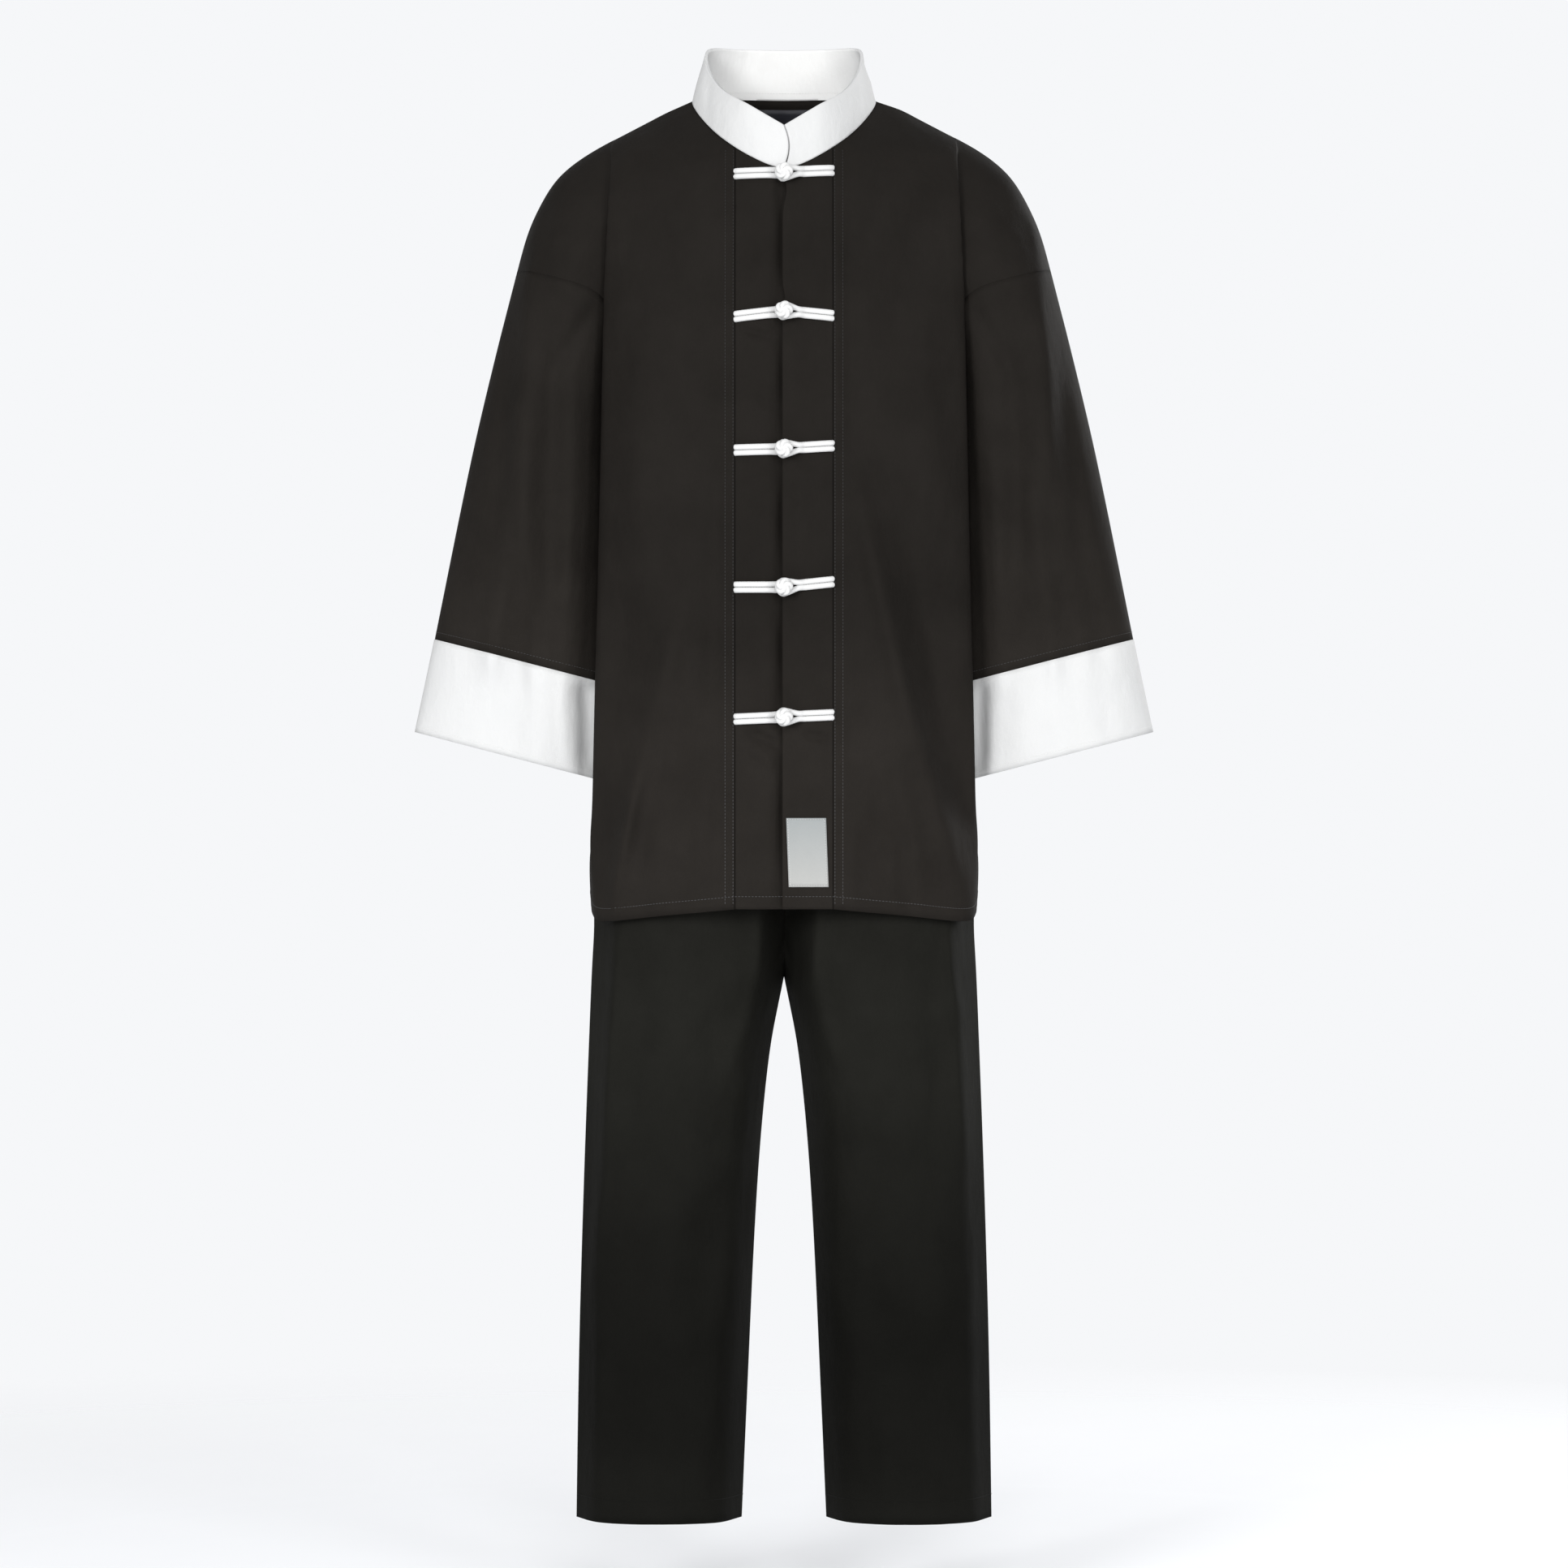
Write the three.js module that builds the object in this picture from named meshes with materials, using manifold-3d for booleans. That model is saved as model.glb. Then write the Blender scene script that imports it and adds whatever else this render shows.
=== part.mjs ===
// A tai chi uniform as a set: a loose jacket with a white stand collar, white cuffs and five corded frogs,
// over wide trousers. It keeps the hollow form of cloth that is worn. Millimetres, +Z up, the front faces -Y.
// The origin lies between the shoulders, level with the points where the collar meets the shoulder seams.
import * as THREE from 'three';
import { mergeVertices } from 'three/addons/utils/BufferGeometryUtils.js';
import Module from 'manifold-3d';

const wasm = await Module();
wasm.setup();

// Cloth walls and seams
const BODY_CLOTH = 1.6;
const BAND_CLOTH = 2;
const COLLAR_CLOTH = 3;
const CUFF_CLOTH = 2.6;
const WAISTBAND_CLOTH = 2.4;
const LABEL_CLOTH = 0.8;
const SEAM_GAP = 0.3;

// Finishes
const black = new THREE.MeshStandardMaterial({ color: 0x2a2826, roughness: 0.9, metalness: 0 });
const white = new THREE.MeshStandardMaterial({ color: 0xf4f4f2, roughness: 0.85, metalness: 0 });
const grey = new THREE.MeshStandardMaterial({ color: 0xc4c8c8, roughness: 0.6, metalness: 0 });

const vec = (p) => new THREE.Vector3(p[0], p[1], p[2]);
const mix = (a, b, t) => a + (b - a) * t;
const clamp01 = (t) => Math.min(1, Math.max(0, t));
const smooth = (t) => clamp01(t) ** 2 * (3 - 2 * clamp01(t));
const mirrorX = (p) => new THREE.Vector3(-p.x, p.y, p.z);

// Samples a smooth curve through points, with the given number of steps in each span. At a break the curve
// has a corner.
function sampleThrough(points, steps, breakAt) {
  if (breakAt !== undefined) {
    const first = sampleThrough(points.slice(0, breakAt + 1), steps.slice(0, breakAt));
    return first.concat(sampleThrough(points.slice(breakAt), steps.slice(breakAt)).slice(1));
  }
  const curve = new THREE.CatmullRomCurve3(points, false, 'centripetal');
  const spans = points.length - 1;
  const out = [points[0].clone()];
  for (let s = 0; s < spans; s++) {
    for (let k = 1; k <= steps[s]; k++) out.push(curve.getPoint((s + k / steps[s]) / spans));
  }
  return out;
}

// Skins a panel over its rails. Each rail is a list of points, one for each level from the hem up.
function skin(rails, levelSteps, railSteps, breaks = []) {
  const sampled = rails.map((rail, r) => sampleThrough(rail, levelSteps, breaks[r]));
  return sampled[0].map((_, j) => sampleThrough(sampled.map((rail) => rail[j]), railSteps));
}

const transpose = (grid) => grid[0].map((_, i) => grid.map((row) => row[i]));
const total = (steps) => steps.reduce((a, b) => a + b, 0);

// One layer of cloth. Panels that share seam points share their normals there, so their walls meet squarely.
class Layer {
  constructor() {
    this.sums = new Map();
  }
  key(p) {
    return [p.x, p.y, p.z].map((v) => Math.round(v * 500)).join();
  }
  add(grid, axisOf, wrap = false) {
    const sums = grid.map((row) => row.map(() => new THREE.Vector3()));
    const across = grid[0].length;
    for (let j = 0; j + 1 < grid.length; j++) {
      for (let i = 0; i + (wrap ? 0 : 1) < across; i++) {
        const n = (i + 1) % across;
        const d1 = grid[j + 1][n].clone().sub(grid[j][i]);
        const d2 = grid[j + 1][i].clone().sub(grid[j][n]);
        const normal = d1.cross(d2);
        for (const [a, b] of [[j, i], [j, n], [j + 1, i], [j + 1, n]]) sums[a][b].add(normal);
      }
    }
    let facing = 0;
    grid.forEach((row, j) => row.forEach((p, i) => (facing += sums[j][i].dot(p.clone().sub(axisOf(p))))));
    grid.forEach((row, j) => row.forEach((p, i) => {
      const k = this.key(p);
      if (!this.sums.has(k)) this.sums.set(k, new THREE.Vector3());
      this.sums.get(k).addScaledVector(sums[j][i], Math.sign(facing));
    }));
    return grid;
  }
  normal(p) {
    return this.sums.get(this.key(p)).clone().normalize();
  }
}

// Pulls the edges of a grid in by the given part of a seam gap, along the cloth.
function trimmed(grid, wrap, sides, half) {
  const out = grid.map((row) => row.map((p) => p.clone()));
  const last = grid.length - 1;
  const edge = grid[0].length - 1;
  const pull = (j, i, toJ, toI) => {
    const d = grid[toJ][toI].clone().sub(grid[j][i]).normalize();
    out[j][i].addScaledVector(d, half);
  };
  grid[0].forEach((_, i) => {
    if (sides.includes('bottom')) pull(0, i, 1, i);
    if (sides.includes('top')) pull(last, i, last - 1, i);
  });
  if (wrap) return out;
  grid.forEach((_, j) => {
    if (sides.includes('start')) pull(j, 0, j, 1);
    if (sides.includes('end')) pull(j, edge, j, edge - 1);
  });
  return out;
}

// Makes one closed solid from two skins of the same grid shape, outer and inner.
function closedWall(outer, inner, wrap) {
  const rows = outer.length;
  const across = outer[0].length;
  const points = [...outer.flat(), ...inner.flat()];
  const id = (side, j, i) => side * rows * across + j * across + (i % across);
  const faces = [];
  const quad = (a, b, c, d) => faces.push(a, b, c, a, c, d);
  const spans = wrap ? across : across - 1;
  for (let j = 0; j + 1 < rows; j++) {
    for (let i = 0; i < spans; i++) {
      quad(id(0, j, i), id(0, j, i + 1), id(0, j + 1, i + 1), id(0, j + 1, i));
      quad(id(1, j, i), id(1, j + 1, i), id(1, j + 1, i + 1), id(1, j, i + 1));
    }
  }
  for (let i = 0; i < spans; i++) {
    quad(id(1, 0, i), id(1, 0, i + 1), id(0, 0, i + 1), id(0, 0, i));
    quad(id(0, rows - 1, i), id(0, rows - 1, i + 1), id(1, rows - 1, i + 1), id(1, rows - 1, i));
  }
  for (let j = 0; j + 1 < rows && !wrap; j++) {
    quad(id(1, j + 1, 0), id(1, j, 0), id(0, j, 0), id(0, j + 1, 0));
    quad(id(0, j + 1, spans), id(0, j, spans), id(1, j, spans), id(1, j + 1, spans));
  }
  return solidGeometry(points, faces);
}

// A BufferGeometry from points and triangles, turned so that its faces point out.
function solidGeometry(points, faces) {
  let volume = 0;
  for (let k = 0; k < faces.length; k += 3) {
    const [a, b, c] = [points[faces[k]], points[faces[k + 1]], points[faces[k + 2]]];
    volume += a.dot(b.clone().cross(c));
  }
  const turned = volume > 0 ? faces : faces.map((_, k) => faces[k - (k % 3) + 2 - (k % 3)]);
  const flat = new Float32Array(points.flatMap((p) => [p.x, p.y, p.z]));
  return new THREE.BufferGeometry()
    .setAttribute('position', new THREE.BufferAttribute(flat, 3))
    .setIndex(turned);
}

const offset = (layer, grid, distance) =>
  grid.map((row) => row.map((p) => p.clone().addScaledVector(layer.normal(p), distance)));

// Seam normals lie between those of the two panels, so they are lengthened to keep the wall's thickness.
function mitred(layer, grid, wrap) {
  const own = new Layer();
  own.add(grid, (p) => p.clone().sub(layer.normal(p)), wrap);
  return grid.map((row) => row.map((p) => {
    const shared = layer.normal(p);
    return shared.divideScalar(Math.max(0.7, shared.dot(own.normal(p))));
  }));
}

// A cloth panel: its outer face is the grid, and its wall goes inwards.
const PLAIN = { wrap: false, sides: ['bottom', 'top', 'start', 'end'], out: 0, gap: SEAM_GAP / 2 };
function panel(layer, grid, thickness, options = {}) {
  const { wrap, sides, out, gap } = { ...PLAIN, ...options };
  const shift = trimmed(grid, wrap, sides, gap);
  const normals = mitred(layer, grid, wrap);
  const skinAt = (d) => shift.map((row, j) => row.map((p, i) => p.clone().addScaledVector(normals[j][i], d)));
  return closedWall(skinAt(out), skinAt(out - thickness), wrap);
}

function mesh(name, geometry, material) {
  const made = new THREE.Mesh(geometry, material);
  made.name = name;
  return made;
}

// The largest drape folds. Each is a soft ridge, or a trough where its height is negative, from one
// point of the front view to another. It fades towards its ends, and stays on the front of the cloth.
const JACKET_FOLDS = [
  { name: 'left front ridge', x0: 66, z0: -380, x1: 172, z1: -775, width: 20, height: 9 },
  { name: 'left front trough', x0: 112, z0: -420, x1: 186, z1: -730, width: 24, height: -8 },
  { name: 'right front ridge', x0: -92, z0: -440, x1: -160, z1: -780, width: 22, height: 8 },
  { name: 'right front trough', x0: -140, z0: -470, x1: -182, z1: -760, width: 20, height: -6 },
];
const SLEEVE_FOLDS = [
  { name: 'left sleeve ridge', x0: 242, z0: -150, x1: 246, z1: -440, width: 16, height: 4 },
  { name: 'left sleeve second ridge', x0: 216, z0: -330, x1: 240, z1: -600, width: 16, height: 4 },
  { name: 'right sleeve ridge', x0: -240, z0: -140, x1: -244, z1: -470, width: 16, height: 4 },
  { name: 'right sleeve second ridge', x0: -262, z0: -330, x1: -282, z1: -560, width: 16, height: 4 },
];
const TROUSER_FOLDS = [
  { name: 'left leg outer ridge', x0: 158, z0: -780, x1: 172, z1: -1010, width: 11, height: 4 },
  { name: 'left leg knee trough', x0: 60, z0: -1130, x1: 160, z1: -1060, width: 40, height: -5 },
  { name: 'right leg outer ridge', x0: -154, z0: -780, x1: -172, z1: -1080, width: 11, height: 4 },
  { name: 'right leg knee trough', x0: -50, z0: -1000, x1: -150, z1: -1230, width: 36, height: -6 },
];

function foldHeight(folds, p) {
  const front = smooth(-p.y / 40);
  return folds.reduce((sum, f) => {
    const [dx, dz] = [f.x1 - f.x0, f.z1 - f.z0];
    const length = Math.hypot(dx, dz);
    const along = ((p.x - f.x0) * dx + (p.z - f.z0) * dz) / length ** 2;
    const off = ((p.x - f.x0) * dz - (p.z - f.z0) * dx) / length;
    const fade = smooth((along + 0.12) / 0.4) * smooth((1.12 - along) / 0.3);
    return sum + f.height * fade * Math.exp(-((off / f.width) ** 2)) * front;
  }, 0);
}

const draped = (folds, grid) =>
  grid.map((row) => row.map((p) => new THREE.Vector3(p.x, p.y - foldHeight(folds, p), p.z)));

// The shoulders are a little squarer than the sections give, the wearer's left one more so.
const SHOULDER_LIFTS = [
  { side: 1, lift: 4.5 },
  { side: -1, lift: 2 },
];
const squared = (grid) => grid.map((row) => row.map((p) => {
  const { lift } = SHOULDER_LIFTS.find((s) => s.side === (p.x < 0 ? -1 : 1));
  const across = smooth((Math.abs(p.x) - 88) / 24) * smooth((250 - Math.abs(p.x)) / 60);
  return new THREE.Vector3(p.x, p.y, p.z + lift * across * smooth((p.z + 190) / 120));
}));

// Jacket sections below the underarm, one for each level. frontY and backY are the depths at the front
// band seam and at the back. fold is the crest that stands in front of the arm, and side is the side
// seam. Both drop below the level's height at the hem.
const SKIRT_SECTIONS = [
  { z: -774, frontY: -112, backY: 106, foldX: 175, foldY: -62, foldDrop: 12, sideX: 185.2, sideDrop: -6 },
  { z: -720, frontY: -113, backY: 107, foldX: 182, foldY: -57, foldDrop: 0, sideX: 186, sideDrop: 0 },
  { z: -650, frontY: -115, backY: 107, foldX: 182, foldY: -60, foldDrop: 0, sideX: 164, sideDrop: 0 },
  { z: -450, frontY: -117, backY: 104, foldX: 177, foldY: -63, foldDrop: 0, sideX: 153, sideDrop: 0 },
  { z: -245, frontY: -113, backY: 108, foldX: 172.5, foldY: -67, foldDrop: 0, sideX: 151, sideDrop: 0 },
];
const BAND_SEAM_X = 46;
// Jacket sections from the underarm to the shoulder seam. They fan out from the band seam and the
// neckline to the armhole seam, over the fold in front of the arm, its tuck, and the arm and cap of the
// dropped shoulder.
const SHOULDER_SECTIONS = [
  { neck: [46, -110, -205], fold: [171.5, -69, -208], edge: [155, -24, -229] },
  { neck: [46, -105, -160], fold: [170, -70, -170], edge: [163, -48, -206] },
  { neck: [46, -96, -110], fold: [168, -69, -132], tuck: [165, -61, -146], arm: [171, -63, -168],
    cap: [176, -66, -180], edge: [181, -67, -187] },
  { neck: [46, -78, -53], fold: [166, -62, -95], tuck: [165, -56, -103], arm: [190, -65, -138],
    cap: [204, -70, -160], edge: [214, -71, -176] },
  { neck: [65, -58, -37], fold: [164, -47, -68], tuck: [166, -43, -74], arm: [202, -53, -111],
    cap: [223, -57, -145], edge: [236, -57, -170] },
  { neck: [81, -28, -17], fold: [162.5, -23, -47], tuck: [168, -21, -51], arm: [212, -27, -83],
    cap: [238, -28, -128], edge: [251, -28, -166] },
  { neck: [88, 0, 0], fold: [161, 0, -38], tuck: [169, 0, -42], arm: [215, 0, -73],
    cap: [243, 0, -119], edge: [256.5, 0, -164] },
];
// Centre, nape and neck of the back over the same levels as the shoulder sections.
const BACK_NECK_SECTIONS = [
  { centre: [0, 108, -202], nape: [25, 108, -203], neck: [49, 106, -204] },
  { centre: [0, 107, -158], nape: [27, 106, -159], neck: [52, 103, -161] },
  { centre: [0, 103, -114], nape: [30, 102, -115], neck: [56, 97, -117] },
  { centre: [0, 97, -74], nape: [34, 95, -75], neck: [62, 85, -77] },
  { centre: [0, 89, -41], nape: [39, 85, -42], neck: [70, 67, -44] },
  { centre: [0, 80, -14], nape: [45, 72, -15], neck: [80, 40, -19] },
  { centre: [0, 70, 9], nape: [50, 55, 8], neck: [88, 0, 0] },
];
const BACK_DEPTH = 0.94;
const UNDERARM_LEVEL = SKIRT_SECTIONS.length - 1;
const NECK_CORNER_LEVEL = UNDERARM_LEVEL + 4;
const SKIRT_STEPS = [1, 2, 3, 3];
const SHOULDER_STEPS = [2, 1, 2, 2, 1, 1, 1];
const LEVEL_STEPS = [...SKIRT_STEPS, ...SHOULDER_STEPS];
const UNDERARM_ROW = total(SKIRT_STEPS);
const NECK_CORNER_ROW = total(LEVEL_STEPS.slice(0, NECK_CORNER_LEVEL));
const RAIL_STEPS = [3, 3, 2, 2, 2, 2];

// The chest bulges a little over the straight line from the band seam to the fold.
function chestOf(neck, fold) {
  const p = neck.clone().lerp(fold, 0.52);
  p.y += 0.3 * (neck.y - fold.y);
  return p;
}

// Where a section has no tuck of its own, the cloth turns in from the fold to the side seam or armhole.
function sideOf(fold, edge, inShare, backShare) {
  return new THREE.Vector3(
    mix(edge.x, fold.x, inShare),
    mix(edge.y, fold.y, backShare),
    mix(edge.z, fold.z, backShare),
  );
}

// The seven rails of half a front, as rows: band seam or neckline, chest, fold, tuck, arm, cap, edge.
const frontRows = [
  ...SKIRT_SECTIONS.map((s) => ({
    neck: new THREE.Vector3(BAND_SEAM_X, s.frontY, s.z),
    fold: new THREE.Vector3(s.foldX, s.foldY, s.z - s.foldDrop),
    edge: new THREE.Vector3(s.sideX, 0, s.z - s.sideDrop),
  })),
  ...SHOULDER_SECTIONS.map((s) => Object.fromEntries(Object.entries(s).map(([name, p]) => [name, vec(p)]))),
].map((s) => [
  s.neck,
  chestOf(s.neck, s.fold),
  s.fold,
  s.tuck ?? sideOf(s.fold, s.edge, 0.25, 0.68),
  s.arm ?? sideOf(s.fold, s.edge, 0.07, 0.36),
  s.cap ?? sideOf(s.fold, s.edge, 0, 0.18),
  s.edge,
]);
const leftFrontBase = skin(transpose(frontRows), LEVEL_STEPS, RAIL_STEPS,
  [NECK_CORNER_LEVEL, , , , , , UNDERARM_LEVEL]);

// The back mirrors the front's side rails, a little shallower, and has its own centre, nape and neck.
const toBack = (p) => new THREE.Vector3(p.x, -BACK_DEPTH * p.y, p.z);
const backRows = frontRows.map((row, level) => {
  const skirt = SKIRT_SECTIONS[level];
  const neck = BACK_NECK_SECTIONS[level - SKIRT_SECTIONS.length];
  const middle = skirt
    ? [0, 0.5, 1].map((t) => new THREE.Vector3(BAND_SEAM_X * t, skirt.backY - 2 * t * t, skirt.z - 4))
    : [vec(neck.centre), vec(neck.nape), vec(neck.neck)];
  const fold = toBack(row[2]);
  return [...middle, chestOf(middle[2], fold), fold, ...row.slice(3).map(toBack)];
});
const BACK_RAIL_STEPS = [2, 2, ...RAIL_STEPS];
const NECK_COLUMN = BACK_RAIL_STEPS[0] + BACK_RAIL_STEPS[1];
const leftBack = skin(transpose(backRows), LEVEL_STEPS, BACK_RAIL_STEPS, [, , , , , , , , UNDERARM_LEVEL]);
const topRow = leftBack.length - 1;
const SIDE_BACK_NECK = vec([75, 32, 4.5]);
const backNeckline = sampleThrough(
  [mirrorX(backRows.at(-1)[1]), backRows.at(-1)[0], backRows.at(-1)[1], SIDE_BACK_NECK, backRows.at(-1)[2]],
  [1, BACK_RAIL_STEPS[0], 1, 1],
).slice(1);
leftBack[topRow] = [...backNeckline, ...leftFrontBase[topRow].slice(1).map((p) => p.clone())];

// Both halves of the back are one panel.
const fullBack = squared(leftBack.map((row) => [...row.slice(1).map(mirrorX).reverse(), ...row]));
const shaped = (grid) => draped(JACKET_FOLDS, draped(SLEEVE_FOLDS, squared(grid)));
const leftFront = shaped(leftFrontBase);
const rightFront = shaped(leftFrontBase.map((row) => row.map(mirrorX)));
const bodyAxis = (p) => new THREE.Vector3(p.x * 0.55, 0, Math.min(p.z, -120));

// Front bands: each runs from the band seam to the centre line, and rises to the neckline at its top.
const BAND_XS = [30, 14];
const COLLAR_END_X = 0.5;
const BAND_CROWN = 3;
const NECKLINE_CROWN = 15;
const NECKLINE_DROP = 22;
const BAND_LIFT_FROM = -245;
const NECK_CORNER_Z = -53;
const CENTRE_EDGE_X = -1;
const UNDERLAP_X = 8;
const UNDERLAP_DEPTH = 3.2;

// A point of the band surface at x, on the row whose band seam point is given.
function bandPoint(seam, x) {
  const lift = clamp01((seam.z - BAND_LIFT_FROM) / (NECK_CORNER_Z - BAND_LIFT_FROM));
  const inward = Math.abs(x) / BAND_SEAM_X;
  const crown = BAND_CROWN + NECKLINE_CROWN * lift ** 2;
  const drop = NECKLINE_DROP * lift ** 1.5;
  return new THREE.Vector3(x, seam.y - crown * (1 - inward ** 2), seam.z - drop * (1 - inward ** 1.5));
}
const seamOf = (front) => front.slice(0, NECK_CORNER_ROW + 1).map((row) => row[0]);
const leftBand = seamOf(leftFront).map((seam) => {
  const xs = [seam.x, ...BAND_XS, COLLAR_END_X, CENTRE_EDGE_X];
  return xs.map((x, i) => (i ? bandPoint(seam, x) : seam.clone()));
});
const rightBand = seamOf(rightFront).map((seam) => {
  const xs = [seam.x, ...BAND_XS.map((x) => -x), -6, UNDERLAP_X];
  return xs.map((x, i) => {
    const p = i ? bandPoint(seam, x) : seam.clone();
    p.y += UNDERLAP_DEPTH * smooth((x + 14) / 8);
    return p;
  });
});

// Sleeves: sections across the arm from the armhole seam to the cuff seam and the cuff's edge. The outer
// and inner ends are points of the front view, and depth is half the thickness of the flattened tube.
const SLEEVE_SECTIONS = [
  { outerX: 275, outerZ: -236, innerX: 160, innerZ: -285, depth: 66, steps: 3 },
  { outerX: 297, outerZ: -328, innerX: 163, innerZ: -372, depth: 60, steps: 2 },
  { outerX: 318, outerZ: -428, innerX: 167, innerZ: -470, depth: 52, steps: 2 },
  { outerX: 336, outerZ: -517, innerX: 173, innerZ: -559, depth: 45, steps: 2 },
  { outerX: 355, outerZ: -606, innerX: 177, innerZ: -652, depth: 42, steps: 2, cuff: true },
];
const OUTER_CREASE = 1.25;

const arcShares = (points) => {
  const sums = [0];
  for (let k = 1; k < points.length; k++) sums.push(sums[k - 1] + points[k].distanceTo(points[k - 1]));
  return sums.map((s) => s / sums.at(-1));
};

// Half of a sleeve section, from its inner end round the front, facing -1, or the back, facing 1, to its
// outer end.
function sleeveHalf(s, facing, shares) {
  const fine = Array.from({ length: 65 }, (_, k) => {
    const turn = (Math.PI * k) / 64;
    const across = (1 - Math.cos(turn)) / 2;
    const depth = s.depth * Math.sin(turn) ** (turn > Math.PI / 2 ? OUTER_CREASE : 0.9);
    const x = mix(s.innerX, s.outerX, across);
    return new THREE.Vector3(x, facing * depth, mix(s.innerZ, s.outerZ, across));
  });
  const at = arcShares(fine);
  return shares.map((share) => {
    const k = Math.min(63, Math.max(0, at.findIndex((a) => a >= share) - 1));
    return fine[k].clone().lerp(fine[k + 1], clamp01((share - at[k]) / (at[k + 1] - at[k])));
  });
}

const frontArmhole = leftFrontBase.slice(UNDERARM_ROW).map((row) => row.at(-1));
const backArmhole = leftBack.slice(UNDERARM_ROW).map((row) => row.at(-1));
const ringOf = (front, back) => [...front, ...back.slice(1, -1).reverse()];
const sleeveRings = [ringOf(frontArmhole, backArmhole)];
for (const s of SLEEVE_SECTIONS) {
  const front = sleeveHalf(s, -1, arcShares(frontArmhole));
  const back = sleeveHalf(s, 1, arcShares(backArmhole));
  sleeveRings.push(ringOf(front, back));
}
const sleeveSteps = SLEEVE_SECTIONS.map((s) => s.steps);
const cuffRow = total(SLEEVE_SECTIONS.filter((s) => !s.cuff).map((s) => s.steps));
const wholeSleeve = transpose(transpose(sleeveRings).map((rail) => sampleThrough(rail, sleeveSteps)));
const leftWhole = draped(SLEEVE_FOLDS, squared(wholeSleeve));
const rightWhole = draped(SLEEVE_FOLDS, squared(wholeSleeve.map((ring) => ring.map(mirrorX))));
const ringCentre = (grid) => {
  const centres = grid.map((ring) =>
    ring.reduce((a, p) => a.add(p), new THREE.Vector3()).divideScalar(ring.length));
  return (p) => centres.reduce((best, c) => (c.distanceTo(p) < best.distanceTo(p) ? c : best));
};

// Collar: it stands on the neckline from one end at the centre front round the neck to the other.
const COLLAR_TOP = [
  { name: 'centre back', at: [0, 61, 57] },
  { name: 'nape', at: [46, 50, 56.5] },
  { name: 'side back', at: [70, 26, 53.5] },
  { name: 'side', at: [75, -2, 38] },
  { name: 'front of side', at: [66, -32, 16] },
  { name: 'throat side', at: [53, -58, 1] },
  { name: 'throat', at: [38, -77, -9] },
  { name: 'centre front', at: [COLLAR_END_X, -96, -33] },
];
const COLLAR_ROWS = 3;
const COLLAR_BOW = 1.5;
const COLLAR_END_BULGE = 5;
const collarTop = sampleThrough(
  [mirrorX(vec(COLLAR_TOP[1].at)), ...COLLAR_TOP.map((c) => vec(c.at))],
  [1, BACK_RAIL_STEPS[0], 1, 1, 1, 1, 1, BAND_XS.length + 1],
).slice(1);
const frontNeck = leftFrontBase.slice(NECK_CORNER_ROW).map((row) => row[0]).reverse();
const bandNeck = [...BAND_XS, COLLAR_END_X].map((x) => bandPoint(frontNeck.at(-1), x));
const collarFoot = [...backNeckline, ...frontNeck.slice(1), ...bandNeck];

// Half of the collar. The end at the centre front is round, and the other half's end is hollow to match.
function collarHalf(sign) {
  return collarFoot.map((foot, i) =>
    Array.from({ length: COLLAR_ROWS + 1 }, (_, k) => {
      const v = k / COLLAR_ROWS;
      const p = foot.clone().lerp(collarTop[i], v);
      const centre = new THREE.Vector3(0, -10, p.z);
      p.addScaledVector(p.clone().sub(centre).normalize(), COLLAR_BOW * Math.sin(Math.PI * v));
      if (i === collarFoot.length - 1) p.x += sign * COLLAR_END_BULGE * Math.sin(Math.PI * v);
      if (sign < 0) p.x *= -1;
      return p;
    }));
}
const collarColumns = [...collarHalf(-1).slice(1).reverse(), ...collarHalf(1)];
const collarGrid = transpose(collarColumns);

// Trousers: sections of one leg from the hem to the waist. inner is the inseam, or the centre seam above
// the crotch, whose depth differs front and back. side is the side seam.
const LEG_SECTIONS = [
  { z: -1360, innerX: 40.5, innerFrontY: 0, innerBackY: 0, sideX: 199.5, frontY: -62, backY: 60, steps: 2 },
  { z: -1200, innerX: 33.5, innerFrontY: 2, innerBackY: 2, sideX: 197, frontY: -66, backY: 64, steps: 2 },
  { z: -1040, innerX: 25.5, innerFrontY: 4, innerBackY: 4, sideX: 192.5, frontY: -70, backY: 70, steps: 2 },
  { z: -916, innerX: 14, innerFrontY: 8, innerBackY: 8, sideX: 188, frontY: -76, backY: 78, steps: 2 },
  { z: -841, innerX: 0, innerFrontY: 12, innerBackY: 12, sideX: 185, frontY: -81, backY: 84, steps: 2 },
  { z: -792, innerX: 0, innerFrontY: -30, innerBackY: 52, sideX: 182.6, frontY: -86, backY: 88, steps: 2 },
  { z: -740, innerX: 0, innerFrontY: -58, innerBackY: 74, sideX: 181.9, frontY: -88, backY: 90, steps: 2 },
  { z: -600, innerX: 0, innerFrontY: -80, innerBackY: 86, sideX: 146, frontY: -86, backY: 88, steps: 2 },
  { z: -440, innerX: 0, innerFrontY: -84, innerBackY: 84, sideX: 130, frontY: -82, backY: 82, steps: 0 },
];
const LEG_RAILS = [
  { across: 0.16, deep: 0.76 },
  { across: 0.5, deep: 1 },
  { across: 0.84, deep: 0.76 },
];
const CROTCH_LEVEL = 4;
const LEG_RAIL_STEPS = [2, 2, 2, 3];
const WAISTBAND_TOP_Z = -402;

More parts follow.
